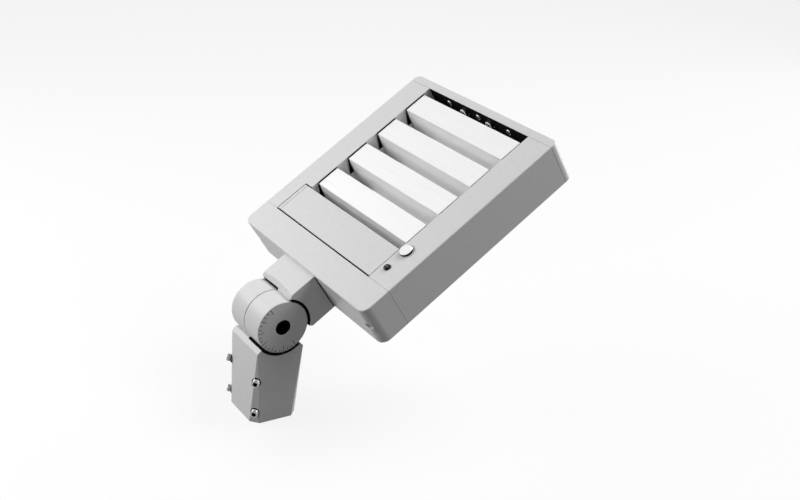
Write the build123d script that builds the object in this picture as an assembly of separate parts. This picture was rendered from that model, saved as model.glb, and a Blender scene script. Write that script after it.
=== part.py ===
"""LED area light: a lamp head of four light bars on a tilting slip fitter.

The frame stands on the sleeve: origin in the middle of the sleeve mouth, +Z up along the sleeve
axis, and the head points towards +Y and upwards. Lengths are in millimetres.

The head is drawn in a frame of its own, with the knuckle axis as its X axis, Y along the head and
Z square to its sky side, and is then tilted and lifted on to the slip fitter.
"""
import os
from math import hypot, pi, sqrt

from build123d import *

os.makedirs("parts", exist_ok=True)

# Driving dimensions: head
window_w = 218.0          # clear width between the two side rails
rail_w = 44.0             # width of one side rail
near_cap_l = 41.1         # length of the end cap on the arm side
far_cap_l = 12.6          # length of the end cap at the free end
near_corner_r = 13.0      # upright corners of the near cap
far_corner_r = 10.0       # upright corners of the far cap
edge_r = 1.6              # small rounding on the outer edges of the head
seam_w = 0.6              # narrow groove at the seams between caps and rails
cap_wall = 4.0            # wall of the near cap casting

# Driving dimensions: side rails
rail_wall = 4.0
rail_inner_r = 2.0        # inner corners of the rail
ledge_w = 14.0            # inward ledge that carries the bars and the tray
ledge_t = 6.0
port_r = 6.0              # screw port inside the rail, for the corner screws
port_inset = 11.0         # from the outer face of the rail to the port axis
port_web = 3.0            # web from the port to the outer wall

# Driving dimensions: end caps, their screws and what is inside
screw_r = 2.5             # corner, bar and cover screws
corner_head_r = 4.3
corner_head_h = 4.5
corner_key_af = 4.0
corner_key_d = 2.5
corner_well_r = 5.2
corner_grip = 20.0        # thread in the rail port
corner_sink = 0.5         # far screw heads sunk below the cap face
boss_wall = 2.5
cap_seat = 8.0            # solid end of the corner boss, under the screw head
far_cap_wall = 4.0
cable_hole_r = 12.0
terminal_at = 0.47        # middle of the terminal block, as a share of the half width
terminal_w = 20.0
terminal_h = 18.0
terminal_soft = 4.0
clamp_count = 4
clamp_pitch = 10.0
clamp_r = 2.5
clamp_d = 6.0
surge_at = 0.52           # middle of the surge protector, on the other side
surge_l = 42.0
surge_w = 22.0
surge_h = 24.0
surge_round = 4.0

# Driving dimensions: screws on the wall of the far cap, in the last slot
wall_drop = 9.8           # screw axes below the sky side
wall_bolt_x = 28.0
wall_screw_x = 65.5
wall_grip = 8.0
hole_end = 1.0            # blind holes go this far past the screw
wall_bolt_r = 3.0
wall_bolt_head_r = 5.8
wall_bolt_head_h = 4.5
wall_key_af = 6.0
wall_key_d = 3.0
wall_washer_r = 7.6
wall_washer_t = 1.2
wall_screw_r = 2.0
wall_screw_head_r = 4.3
wall_screw_head_h = 2.6

# Driving dimensions: driver cover and tray
cover_l = 53.5            # length of the cover bay, near cap to far edge of the cover
cover_t = 2.5
cover_overlap = 16.0      # the cover laps over the left rail by this much
cover_end_gap = 2.0       # wide gap along the near edge
cover_side_gap = 0.8      # thin gap at the two sides
crease_inset = 6.0        # crease that runs beside the left edge of the cover
crease_w = 0.9
gasket_t = 1.5
tray_wall = 2.0
tray_rim = 8.0            # inward rim that carries the cover gasket
tray_side_gap = 0.3
boss_r = 5.0              # threaded bosses under the cover
boss_l = 12.0
boss_clear = 1.0          # boss to tray rim
cover_far_gap = 1.6       # gap along the far edge
tray_back = 1.0           # far wall of the tray set back under the cover edge
cover_round = 0.8
cover_head_r = 4.4
cover_head_h = 2.8
boss_left = 3.0           # thread left free in a boss above the screw
tray_screw_r = 2.0
tray_screw_inset = 9.0    # from the inside of the tray walls to its screws
tray_screw_left = 1.0
tray_head_r = 3.6
tray_head_h = 2.2
wire_door_w = 40.0        # opening in the near wall of the tray
wire_door_h = 22.0
wire_door_sill = 8.0

# Driving dimensions: LED driver
driver_w = 30.0
driver_h = 30.0
driver_round = 3.0
driver_gap = 0.6          # fixing tabs to the cover bosses
tab_l = 8.0
tab_w = 16.0
tab_t = 2.0
driver_head_r = 3.4
driver_head_h = 2.0

# Driving dimensions: polished bolt and cross head screw on the right rail
knob_inset = 11.7         # from the inner face of the rail
knob_past = 1.2           # beyond the far edge of the cover bay
knob_r = 8.7
knob_h = 4.2
knob_soft = 0.9
knob_bolt_r = 4.0
knob_bolt_end = 8.0       # bolt length below the plate
knob_nut_af = 13.0
knob_nut_h = 6.5
dot_inset = 10.6
dot_back = 30.0           # before the far edge of the cover bay
dot_head_r = 4.6
dot_head_h = 2.4
dot_slot = 1.2
dot_end = 3.0             # screw length below the plate
plate_t = 3.0
plate_w = 16.0
plate_end = 12.0          # plate beyond the screws at both ends

# Driving dimensions: light bars
bar_count = 4
bar_w = 34.0              # flat top of a bar
bar_gap = 20.5            # open slot between two bars
first_slot = 10.7         # slot between cover and first bar
last_slot = 12.8          # slot between last bar and far cap
bar_drop = 1.4            # top of the bars below the sky side of the head
bar_end_gap = 2.1         # bar end to rail
bar_bulge = 2.0           # the barrelled sides stand out this far at mid height
bar_toe = 1.5             # and come back in this far at the bottom
bar_wall = 3.0
bar_floor = 5.0           # thick bottom wall, behind the board
bar_lip = 1.6             # lip along the top edges
lip_groove = 0.7          # depth and height of the groove under the lip
fin_t = 2.0               # inner fins
fin_gap = 8.0             # clear distance between the two inner fins
bar_screw_gap = 9.0       # screws to the centre line of the bar
bar_head_r = 4.3
bar_head_h = 2.6
bar_grip = 8.0

# Driving dimensions: LED boards and lens plates
board_w = 20.0
board_t = 1.6
chip_s = 3.5
chip_t = 0.7
led_rows = 2
led_cols = 10
led_row_pitch = 10.0
lens_w = 27.0
lens_t = 3.0
lens_face = 7.5           # square foot of one lens
lens_h = 1.8
lens_end = 3.0            # lens plate to ledge
lens_draft = 25           # slope of the lens sides in degrees
board_inset = 6.0         # board end inside the end of the lens plate
board_side = 1.0          # room in the lens plate inside the board edge
chip_air = 0.4            # room under the LED chips
led_inset = 12.0          # middle of the last LED inside the end of the lens plate
lens_screw_inset = 3.5
lens_screw_r = 1.5
lens_screw_grip = 3.5
lens_head_r = 2.6
lens_head_h = 1.4

# Driving dimensions: arm and knuckle
arm_l = 70.0              # knuckle axis to the end face of the head
arm_w = 75.0
arm_h = 60.0
arm_step = 2.4            # top of the arm below the sky side of the head
arm_wall = 5.0
arm_gasket_t = 1.2
arm_lip = 2.0             # top and bottom walls of the arm reach the cap this thick
arm_gasket_w = 6.0        # gasket beyond the inside of the arm wall
arm_bolt_r = 4.0
arm_bolt_head_r = 6.5
arm_bolt_head_h = 6.0
arm_key_af = 6.0
arm_key_d = 3.0
arm_boss = 7.0
bolt_depth = 16.0         # threaded holes in the arm bosses
bolt_left = 2.0           # thread left free at the bottom
drum_r = 35.6             # knuckle drum
seat_gap = 2.8            # round gap between a drum half and the casting that wraps it
seam_gap = 0.3            # between the tooth crests of the two halves
tooth_count = 72
tooth_h = 1.2
tooth_ring = 8.6          # radial width of the toothed ring
tooth_over = 1.0          # the notches run past the ring by this much at both ends
drum_floor = 7.0          # outer wall of a drum half
hub_r = 14.5              # hub round the pivot bolt
groove_d = 4.0            # depth of the round groove beside the drum
bevel_back = 2.6          # the flat top of the arm ends this far inside the seat radius
scoop_sag = 3.5           # the bevel bows by this much over the arm width
near_rim_r = 1.0          # rounding of the drum rims
far_rim_r = 3.0
tick_w = 0.7
tick_d = 0.6
tick_step = 5
tick_long = 8.5
tick_short = 4.0
tick_rim = 0.9            # ticks end this far inside the rim

# Driving dimensions: pivot bolt
bolt_r = 6.0
run_gap = 0.05            # running clearance round the bolt
well_r = 10.5             # counterbore for the bolt head
well_d = 30.0
head_r = 9.0
head_h = 11.0
key_af = 10.0             # socket across flats
key_d = 6.0
washer_r = 10.0
washer_t = 2.0
bear_gap = 0.1            # washer to arm
nut_af = 18.0
nut_h = 10.0
nut_well = 12.0
bolt_proud = 1.5          # bolt end beyond the nut
fit_gap = 0.3             # loose fit of fasteners in their holes and wells

# Driving dimensions: sleeve
sleeve_l = 136.0          # knuckle axis to the mouth
sleeve_w = 72.0
sleeve_d = 66.0
sleeve_corner = 9.8       # corner chamfer at the mouth
corner_start = 33.0       # the chamfers start this far under the knuckle axis
top_corner = 0.8          # corner chamfer where the taper starts
shoulder = 5.6            # bevel at the top of the sleeve, front and back
bore_r = 25.5             # for a 48.3 mm tenon
bore_l = 82.0
wire_r = 8.0
set_r = 5.0
set_low = 16.0            # height of the lower pair of set screws
set_high = 62.0
set_proud = 7.0           # outer end of a set screw beyond the chamfer
set_back = 0.8            # screw tip outside the bore wall
set_af = 5.0

head_tilt = 35.5          # head above the horizontal

# Sizes that follow
head_w = window_w + 2 * rail_w
head_d = arm_h + arm_step  # the ground side of the head is level with the arm
half_w = head_w / 2
half_window = window_w / 2
sky_z = arm_h / 2 + arm_step
ground_z = sky_z - head_d
mid_z = (sky_z + ground_z) / 2
near_y = arm_l
bay_y = near_y + near_cap_l
window_y = bay_y + cover_l
bar_pitch = bar_w + bar_gap
window_l = first_slot + (bar_count - 1) * bar_pitch + bar_w + last_slot
rail_l = cover_l + window_l
far_y = bay_y + rail_l
end_y = far_y + far_cap_l
ledge_z = ground_z + ledge_t
bar_top = sky_z - bar_drop
bar_l = window_w - 2 * bar_end_gap
bar_h = bar_top - ledge_z
seat_r = drum_r + seat_gap
pivot_z = sleeve_l
port_x = half_w - port_inset


# Helpers
def block(x0, x1, y0, y1, z0, z1):
    return Pos((x0 + x1) / 2, (y0 + y1) / 2, (z0 + z1) / 2) * Box(x1 - x0, y1 - y0, z1 - z0)


def rod(radius, length, at, towards):
    """Round bar that starts at a point and runs in a direction."""
    base = (Align.CENTER, Align.CENTER, Align.MIN)
    return Plane(origin=at, z_dir=towards) * Cylinder(radius, length, align=base)


def hex_rod(across_flats, length, at, towards):
    shape = RegularPolygon(across_flats / 2, 6, major_radius=False)
    return extrude(Plane(origin=at, z_dir=towards) * shape, length)


def ring(outer, inner, length, at, towards):
    return rod(outer, length, at, towards) - rod(inner, length, at, towards)


def pan_screw(radius, top_r, top_h, length, at, towards, slot=0.0):
    """Domed screw: the point is under the head, the shank runs in the direction given."""
    away = Vector(*towards) * -1
    top = rod(top_r, top_h, at, away)
    rim = top.faces().sort_by(Axis(at, away))[-1].edges()
    top = fillet(rim, top_h * 0.45)
    screw = top + rod(radius, length, at, towards)
    if slot:
        seat = Plane(origin=at, z_dir=away)
        cross = Box(slot * 5, slot, top_h * 2) + Box(slot, slot * 5, top_h * 2)
        screw -= seat * Pos(0, 0, top_h * 1.5) * cross
    return screw


def socket_screw(radius, top_r, top_h, length, at, towards, flats, key):
    away = Vector(*towards) * -1
    screw = rod(top_r, top_h, at, away) + rod(radius, length, at, towards)
    crown = Vector(*at) + away * (top_h - key)
    return screw - hex_rod(flats, key, crown, away)


def tilt(shape):
    """Place a piece of the head on the slip fitter."""
    return Pos(0, 0, pivot_z) * Rot(head_tilt, 0, 0) * shape


def save(name, shape, in_head=True):
    shape = tilt(shape) if in_head else shape
    solids = shape.solids()
    made = solids[0] if len(solids) == 1 else Compound(children=list(solids))
    export_step(made, f"parts/{name}.step")


def tooth_cuts(side):
    """Radial notches in the toothed ring of one drum half, on the side given (+1 near, -1 far)."""
    face_x = side * seam_gap / 2
    inner = drum_r - tooth_ring
    half = 0.93 * pi * inner / tooth_count
    notch = Polyline((-half, -0.01), (half, -0.01), (0, tooth_h), close=True)
    length = tooth_ring + 2 * tooth_over
    tool = extrude(make_face(Plane.XY * notch), length)
    tool = Pos(face_x, 0, inner - tooth_over) * Rot(0, 0, -90 * side) * tool
    return [Rot(i * 360 / tooth_count, 0, 0) * tool for i in range(tooth_count)]


def drum_half(side):
    """Outside of one half of the knuckle drum."""
    depth = (arm_w - seam_gap) / 2
    drum = rod(drum_r, depth, (side * seam_gap / 2, 0, 0), (side, 0, 0))
    rim = drum.faces().sort_by(Axis.X)[-1 if side > 0 else 0].edges()
    return fillet(rim, near_rim_r if side > 0 else far_rim_r)


def drum_cup(side):
    """Hollow of one drum half, round the hub of the pivot bolt."""
    depth = (arm_w - seam_gap) / 2 - drum_floor
    return ring(drum_r - tooth_ring, hub_r, depth, (side * seam_gap / 2, 0, 0), (side, 0, 0))


# Slip fitter: sleeve with the far half of the knuckle drum
def sleeve_section(corner, z):
    outline = Rectangle(sleeve_w, sleeve_d)
    return Pos(0, 0, z) * chamfer(outline.vertices(), corner)


def sleeve_corner_at(z):
    start = pivot_z - corner_start
    return top_corner + (sleeve_corner - top_corner) * (start - z) / start


shoulder_z = pivot_z - corner_start
taper = loft([sleeve_section(sleeve_corner, 0), sleeve_section(top_corner, shoulder_z)])
saddle_side = Polyline((-sleeve_d / 2, shoulder_z), (sleeve_d / 2, shoulder_z),
                       (sleeve_d / 2 - shoulder, shoulder_z + shoulder),
                       (shoulder - sleeve_d / 2, shoulder_z + shoulder), close=True)
saddle = extrude(make_face(Plane.YZ * saddle_side), sleeve_w / 2, both=True)
near_room = rod(seat_r, arm_w, (-seam_gap / 2, 0, pivot_z), (1, 0, 0))
fitter = taper + saddle - near_room + Pos(0, 0, pivot_z) * drum_half(-1)
fitter -= Pos(0, 0, pivot_z) * drum_cup(-1)
bolt_hole = rod(bolt_r + run_gap, arm_w, (-arm_w, 0, 0), (1, 0, 0))
nut_pocket = hex_rod(nut_af + fit_gap, nut_well, (nut_well - arm_w / 2, 0, 0), (-1, 0, 0))
fitter -= Pos(0, 0, pivot_z) * (bolt_hole + nut_pocket)
fitter -= [Pos(0, 0, pivot_z) * cut for cut in tooth_cuts(-1)]
fitter -= rod(bore_r, bore_l, (0, 0, 0), (0, 0, 1))
wire_x = -(seam_gap / 2 + (arm_w / 2 - drum_floor)) / 2
wire_top = pivot_z - hub_r
fitter -= rod(wire_r, wire_top - bore_l + 1, (wire_x, 0, bore_l - 1), (0, 0, 1))

# Set screws, two in each front chamfer of the sleeve
set_screws = []
for side in (-1, 1):
    for height in (set_low, set_high):
        corner = sleeve_corner_at(height)
        to_x, to_y = side * (sleeve_w - corner) / 2, -(sleeve_d - corner) / 2
        reach = hypot(to_x, to_y)
        out = (to_x / reach, to_y / reach, 0)
        tip = bore_r + set_back
        fitter -= rod(set_r, reach + sleeve_corner, (0, 0, height), out)
        start = (out[0] * tip, out[1] * tip, height)
        screw = rod(set_r, reach + set_proud - tip, start, out)
        mouth = reach + set_proud - key_d
        well = (out[0] * mouth, out[1] * mouth, height)
        screw -= hex_rod(set_af, key_d, well, out)
        set_screws.append(screw)
save("slip_fitter", fitter, in_head=False)
save("fitter_set_screws", Compound(children=set_screws), in_head=False)

# Pivot bolt, washer and nut
well_x = arm_w / 2 - well_d
washer_x = well_x + bear_gap
crown_x = washer_x + washer_t
nut_x = nut_well - arm_w / 2
pivot_axis = (-1, 0, 0)
shank_l = crown_x - nut_x + nut_h + bolt_proud
bolt = socket_screw(bolt_r, head_r, head_h, shank_l, (crown_x, 0, pivot_z), pivot_axis,
                    key_af, key_d)
washer = ring(washer_r, bolt_r, washer_t, (washer_x, 0, pivot_z), (1, 0, 0))
nut = hex_rod(nut_af, nut_h, (nut_x, 0, pivot_z), pivot_axis)
nut -= rod(bolt_r, nut_h, (nut_x, 0, pivot_z), pivot_axis)
save("pivot_bolt", bolt, in_head=False)
save("pivot_washer", washer, in_head=False)
save("pivot_nut", nut, in_head=False)

# Knuckle arm: a hollow box with bowed bevels, and the near half of the drum
flange_y = arm_l - arm_gasket_t
arm = block(-arm_w / 2, arm_w / 2, 0, flange_y, -arm_h / 2, arm_h / 2)
scoop_r = (arm_w / 2) ** 2 / (sqrt(2) * scoop_sag)
for up in (-1, 1):
    outward = Vector(0, -1, up).normalized()
    centre = Vector(0, seat_r - bevel_back, up * arm_h / 2) + outward * scoop_r
    along = Vector(0, 1, up).normalized()
    arm -= rod(scoop_r, 4 * arm_h, centre - along * 2 * arm_h, along)
arm -= rod(seat_r, arm_w, (seam_gap / 2, 0, 0), (-1, 0, 0))
lip_z = arm_h / 2 - arm_lip
for low in (-arm_h / 2, lip_z):
    arm += block(-arm_w / 2, arm_w / 2, flange_y, arm_l, low, low + arm_lip)
hollow_y = seat_r + arm_wall
hollow_x, hollow_z = arm_w / 2 - arm_wall, arm_h / 2 - arm_wall
hollow = block(-hollow_x, hollow_x, hollow_y, flange_y, -hollow_z, hollow_z)
arm_bolt_at = [(sx * (hollow_x - arm_boss), sz * (hollow_z - arm_boss))
               for sx in (-1, 1) for sz in (-1, 1)]
for bx, bz in arm_bolt_at:
    hollow -= rod(arm_boss, flange_y, (bx, 0, bz), (0, 1, 0))
    hollow -= block(min(bx, bx * 2), max(bx, bx * 2), 0, flange_y,
                    min(bz, bz * 2), max(bz, bz * 2))
arm -= hollow
arm -= rod(seat_r, groove_d, (arm_w / 2 - groove_d, 0, 0), (1, 0, 0))
arm = arm + drum_half(1) - drum_cup(1)
arm -= rod(bolt_r + run_gap, arm_w, (0, 0, 0), (1, 0, 0))
arm -= rod(well_r, well_d, (well_x, 0, 0), (1, 0, 0))
arm -= tooth_cuts(1)
wire_from = (hub_r + drum_r - tooth_ring) / 2
arm -= rod(wire_r - 1, hollow_y - wire_from + 1, (-wire_x, wire_from, 0), (0, 1, 0))
for bx, bz in arm_bolt_at:
    arm -= rod(arm_bolt_r, bolt_depth, (bx, flange_y - bolt_depth, bz), (0, 1, 0))
ticks = []
for angle in range(90, 271, tick_step):
    size = tick_long if angle % 30 == 0 else tick_short
    tick = Pos(arm_w / 2, drum_r - tick_rim - size / 2, 0) * Box(2 * tick_d, size, tick_w)
    ticks.append(Rot(angle, 0, 0) * tick)
arm -= ticks
save("knuckle_arm", arm)

# Gasket and bolts between arm and head
gasket = block(-arm_w / 2, arm_w / 2, flange_y, arm_l, -lip_z, lip_z)
opening_x, opening_z = hollow_x - arm_gasket_w, hollow_z - arm_gasket_w
gasket -= block(-opening_x, opening_x, flange_y, arm_l, -opening_z, opening_z)
arm_bolts = []
for bx, bz in arm_bolt_at:
    gasket -= rod(arm_bolt_r, arm_gasket_t, (bx, flange_y, bz), (0, 1, 0))
    start = (bx, near_y + cap_wall, bz)
    length = cap_wall + arm_gasket_t + bolt_depth - bolt_left
    arm_bolts.append(socket_screw(arm_bolt_r, arm_bolt_head_r, arm_bolt_head_h, length, start,
                                  (0, -1, 0), arm_key_af, arm_key_d))
save("arm_gasket", gasket)
save("arm_bolts", Compound(children=arm_bolts))

# End caps
def cap_shell(y0, y1, corner_r, free_y):
    """Solid cap with round upright corners and soft edges at its free end."""
    cap = block(-half_w, half_w, y0, y1, ground_z, sky_z)
    uprights = cap.edges().filter_by(Axis.Z).filter_by_position(Axis.Y, free_y - 1, free_y + 1)
    cap = fillet(uprights, corner_r)
    for level in (ground_z, sky_z):
        face = cap.faces().filter_by(Axis.Z).filter_by_position(Axis.Z, level - 0.1, level + 0.1)[0]
        joint_y = y0 + y1 - free_y
        rim = [e for e in face.edges() if abs(e.center().Y - joint_y) > 0.01]
        cap = fillet(rim, edge_r)
    return cap


near_cap = cap_shell(near_y, bay_y, near_corner_r, near_y)
room = block(cap_wall - half_w, half_w - cap_wall, near_y + cap_wall, bay_y,
             ground_z + cap_wall, sky_z - cap_wall)
room_corners = room.edges().filter_by(Axis.Z).group_by(Axis.Y)[0]
room = fillet(room_corners, near_corner_r - cap_wall)
near_cap -= room
far_cap = cap_shell(far_y, end_y, far_corner_r, end_y)
corner_screws = []
for side in (-1, 1):
    at_x = side * port_x
    boss = rod(corner_well_r + boss_wall, near_cap_l - cap_wall / 2,
               (at_x, near_y + cap_wall / 2, mid_z), (0, 1, 0))
    near_cap += boss
    near_cap -= rod(corner_well_r, near_cap_l - cap_seat, (at_x, near_y, mid_z), (0, 1, 0))
    near_cap -= rod(screw_r, near_cap_l, (at_x, near_y, mid_z), (0, 1, 0))
    corner_screws.append(socket_screw(screw_r, corner_head_r, corner_head_h,
                                      cap_seat + corner_grip, (at_x, bay_y - cap_seat, mid_z),
                                      (0, 1, 0), corner_key_af, corner_key_d))
    pocket = block(half_window + rail_wall, half_w - rail_wall, far_y, end_y - far_cap_wall,
                   ground_z + rail_wall, sky_z - rail_wall)
    pocket -= rod(corner_well_r + boss_wall, far_cap_l, (port_x, far_y, mid_z), (0, 1, 0))
    far_cap -= pocket if side > 0 else mirror(pocket, about=Plane.YZ)
    far_seat = end_y - corner_head_h - corner_sink
    far_cap -= rod(corner_well_r, far_cap_l, (at_x, far_seat, mid_z), (0, 1, 0))
    far_cap -= rod(screw_r, far_cap_l, (at_x, far_y, mid_z), (0, 1, 0))
    corner_screws.append(socket_screw(screw_r, corner_head_r, corner_head_h,
                                      far_seat - far_y + corner_grip, (at_x, far_seat, mid_z),
                                      (0, -1, 0), corner_key_af, corner_key_d))
near_cap -= rod(cable_hole_r, 2 * cap_wall, (0, near_y - cap_wall / 2, 0), (0, 1, 0))
for bx, bz in arm_bolt_at:
    near_cap -= rod(arm_bolt_r, 2 * cap_wall, (bx, near_y - cap_wall / 2, bz), (0, 1, 0))
save("near_end_cap", near_cap)
save("corner_screws", Compound(children=corner_screws))

# Screws on the wall of the far cap, in the last slot
wall_level = sky_z - wall_drop
wall_bolts, wall_washers, wall_screws = [], [], []
for at_x in (-wall_bolt_x, wall_bolt_x):
    far_cap -= rod(wall_bolt_r, wall_grip + hole_end, (at_x, far_y, wall_level), (0, 1, 0))
    seat = (at_x, far_y - wall_washer_t, wall_level)
    wall_washers.append(ring(wall_washer_r, wall_bolt_r, wall_washer_t, seat, (0, 1, 0)))
    wall_bolts.append(socket_screw(wall_bolt_r, wall_bolt_head_r, wall_bolt_head_h, wall_grip,
                                   seat, (0, 1, 0), wall_key_af, wall_key_d))
for at_x in (-wall_screw_x, 0, wall_screw_x):
    seat = (at_x, far_y, wall_level)
    far_cap -= rod(wall_screw_r, wall_grip + hole_end, seat, (0, 1, 0))
    wall_screws.append(pan_screw(wall_screw_r, wall_screw_head_r, wall_screw_head_h, wall_grip,
                                 seat, (0, 1, 0)))
save("far_end_cap", far_cap)
save("far_wall_bolts", Compound(children=wall_bolts))
save("far_wall_washers", Compound(children=wall_washers))
save("far_wall_screws", Compound(children=wall_screws))


# Side rails: one extrusion, used left and right
def seam_groove(y):
    outer = block(-half_w - 1, half_w + 1, y, y + seam_w, ground_z - 1, sky_z + 1)
    inner = block(seam_w - half_w, half_w - seam_w, y, y + seam_w, ground_z + seam_w,
                  sky_z - seam_w)
    return outer - inner


rail_plane = Plane(origin=(0, bay_y, 0), x_dir=(1, 0, 0), z_dir=(0, -1, 0))
outline = Pos((half_window + half_w) / 2, mid_z) * Rectangle(rail_w, head_d)
outline = fillet(outline.vertices().group_by(Axis.X)[-1], edge_r)
outline += Pos(half_window - ledge_w / 2, ground_z + ledge_t / 2) * Rectangle(ledge_w, ledge_t)
inside = Rectangle(rail_w - 2 * rail_wall, head_d - 2 * rail_wall)
inside = Pos((half_window + half_w) / 2, mid_z) * fillet(inside.vertices(), rail_inner_r)
inside -= Pos(port_x, mid_z) * Circle(port_r)
inside -= Pos((port_x + half_w) / 2, mid_z) * Rectangle(half_w - port_x, port_web)
rail_section = outline - inside - Pos(port_x, mid_z) * Circle(screw_r)
rail = extrude(rail_plane * rail_section, -rail_l)
rail = rail - seam_groove(bay_y) - seam_groove(far_y - seam_w)

ledge_x = half_window - ledge_w / 2
bar_y = [window_y + first_slot + bar_w / 2 + i * bar_pitch for i in range(bar_count)]
bar_screws = []
for centre_y in bar_y:
    for at_y in (centre_y - bar_screw_gap, centre_y + bar_screw_gap):
        seat_z = ground_z + bar_head_h + fit_gap
        rail -= rod(bar_head_r + fit_gap, ledge_t, (ledge_x, at_y, seat_z), (0, 0, -1))
        rail -= rod(screw_r, ledge_t, (ledge_x, at_y, ground_z), (0, 0, 1))
        for at_x in (-ledge_x, ledge_x):
            bar_screws.append(pan_screw(screw_r, bar_head_r, bar_head_h,
                                        ledge_z - seat_z + bar_grip, (at_x, at_y, seat_z),
                                        (0, 0, 1)))
save("bar_screws", Compound(children=bar_screws))

tray_y1 = window_y - cover_far_gap - tray_back
tray_screw_y = [bay_y + tray_wall + tray_screw_inset, tray_y1 - tray_wall - tray_screw_inset]
tray_screws = []
for at_y in tray_screw_y:
    rail -= rod(tray_screw_r, ledge_t, (ledge_x, at_y, ledge_z), (0, 0, -1))
    for at_x in (-ledge_x, ledge_x):
        tray_screws.append(pan_screw(tray_screw_r, tray_head_r, tray_head_h,
                                     tray_wall + ledge_t - tray_screw_left,
                                     (at_x, at_y, ledge_z + tray_wall), (0, 0, -1)))
save("tray_screws", Compound(children=tray_screws))

left_rail = mirror(rail, about=Plane.YZ)
recess_x = half_window + cover_overlap
left_rail -= block(-recess_x, 1 - half_window, bay_y, window_y, sky_z - cover_t, sky_z + 1)

# On the right rail: a cross head screw and a polished round bolt, with a plate under them
knob_x = half_window + knob_inset
knob_y = window_y + knob_past
dot_x = half_window + dot_inset
dot_y = window_y - dot_back
under_z = sky_z - rail_wall
plate_x = half_window + rail_wall + rail_inner_r
plate = block(plate_x, plate_x + plate_w, dot_y - plate_end, knob_y + plate_end,
              under_z - plate_t, under_z)
knob = rod(knob_r, knob_h, (knob_x, knob_y, sky_z), (0, 0, 1))
knob = chamfer(knob.faces().sort_by(Axis.Z)[-1].edges(), knob_soft)
knob += rod(knob_bolt_r, rail_wall + plate_t + knob_bolt_end, (knob_x, knob_y, sky_z),
            (0, 0, -1))
nut_seat = (knob_x, knob_y, under_z - plate_t)
knob_nut = hex_rod(knob_nut_af, knob_nut_h, nut_seat, (0, 0, -1))
knob_nut -= rod(knob_bolt_r, knob_nut_h, nut_seat, (0, 0, -1))
right_rail = rail
for radius, at_x, at_y in ((knob_bolt_r, knob_x, knob_y), (screw_r, dot_x, dot_y)):
    hole = rod(radius, rail_wall + plate_t, (at_x, at_y, sky_z), (0, 0, -1))
    right_rail -= hole
    plate -= hole
cross_screw = pan_screw(screw_r, dot_head_r, dot_head_h, rail_wall + plate_t + dot_end,
                        (dot_x, dot_y, sky_z), (0, 0, -1), slot=dot_slot)
save("side_rail_left", left_rail)
save("side_rail_right", right_rail)
save("polished_bolt", knob)
save("polished_bolt_nut", knob_nut)
save("cross_screw", cross_screw)
save("rail_backing_plate", plate)

# Driver tray, its cover and their gasket
tray_x = half_window - tray_side_gap
tray_top = sky_z - cover_t - gasket_t
tray_floor_z = ledge_z + tray_wall
tray = block(-tray_x, tray_x, bay_y, tray_y1, ledge_z, tray_top)
tray -= block(tray_wall - tray_x, tray_x - tray_wall, bay_y + tray_wall, tray_y1 - tray_wall,
              tray_floor_z, tray_top - tray_wall)
mouth_x = tray_x - tray_wall - tray_rim
mouth_y0, mouth_y1 = bay_y + tray_wall + tray_rim, tray_y1 - tray_wall - tray_rim
mouth = block(-mouth_x, mouth_x, mouth_y0, mouth_y1, tray_floor_z, sky_z)
tray -= mouth
door_z = tray_floor_z + wire_door_sill
tray -= block(-wire_door_w / 2, wire_door_w / 2, bay_y, bay_y + tray_wall, door_z,
              door_z + wire_door_h)
cover_gasket = block(-tray_x, tray_x, bay_y, tray_y1, tray_top, tray_top + gasket_t) - mouth

cover_x0 = cover_side_gap - recess_x
cover_x1 = half_window - cover_side_gap
cover_y0, cover_y1 = bay_y + cover_end_gap, window_y - cover_far_gap
cover = block(cover_x0, cover_x1, cover_y0, cover_y1, sky_z - cover_t, sky_z)
cover = fillet(cover.faces().sort_by(Axis.Z)[-1].edges(), cover_round)
crease_x = cover_x0 + crease_inset
cover -= block(crease_x, crease_x + crease_w, cover_y0, cover_y1, sky_z - crease_w, sky_z + 1)
cover_under = sky_z - cover_t
boss_x = min(mouth_x - boss_clear - boss_r, half_window - ledge_w - cover_head_r - boss_clear)
cover_screws = []
for at_x in (-boss_x, boss_x):
    for at_y in (mouth_y0 + boss_clear + boss_r, mouth_y1 - boss_clear - boss_r):
        cover += rod(boss_r, boss_l, (at_x, at_y, cover_under), (0, 0, -1))
        cover -= rod(screw_r, boss_l, (at_x, at_y, cover_under), (0, 0, -1))
        tray -= rod(screw_r + fit_gap, tray_wall, (at_x, at_y, ledge_z), (0, 0, 1))
        length = cover_under - boss_left - ledge_z
        cover_screws.append(pan_screw(screw_r, cover_head_r, cover_head_h, length,
                                      (at_x, at_y, ledge_z), (0, 0, 1)))
for at_x in (-ledge_x, ledge_x):
    for at_y in tray_screw_y:
        tray -= rod(tray_screw_r, tray_wall, (at_x, at_y, ledge_z), (0, 0, 1))
save("driver_cover", cover)
save("cover_gasket", cover_gasket)
save("cover_screws", Compound(children=cover_screws))

# LED driver in the tray, terminal block and surge protector in the near cap
driver_half = boss_x - boss_r - driver_gap - tab_l
driver_y = (bay_y + tray_y1) / 2
driver = block(-driver_half, driver_half, driver_y - driver_w / 2, driver_y + driver_w / 2,
               tray_floor_z, tray_floor_z + driver_h)
driver = fillet(driver.edges().filter_by(Axis.Z), driver_round)
driver += block(-driver_half - tab_l, driver_half + tab_l, driver_y - tab_w / 2,
                driver_y + tab_w / 2, tray_floor_z, tray_floor_z + tab_t)
driver_screws = []
for at_x in (-driver_half - tab_l / 2, driver_half + tab_l / 2):
    hole = rod(tray_screw_r, tab_t + tray_wall, (at_x, driver_y, ledge_z), (0, 0, 1))
    driver -= hole
    tray -= hole
    driver_screws.append(pan_screw(tray_screw_r, driver_head_r, driver_head_h,
                                   tab_t + tray_wall, (at_x, driver_y, tray_floor_z + tab_t),
                                   (0, 0, -1)))
save("driver_tray", tray)
save("led_driver", driver)
save("driver_screws", Compound(children=driver_screws))

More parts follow.
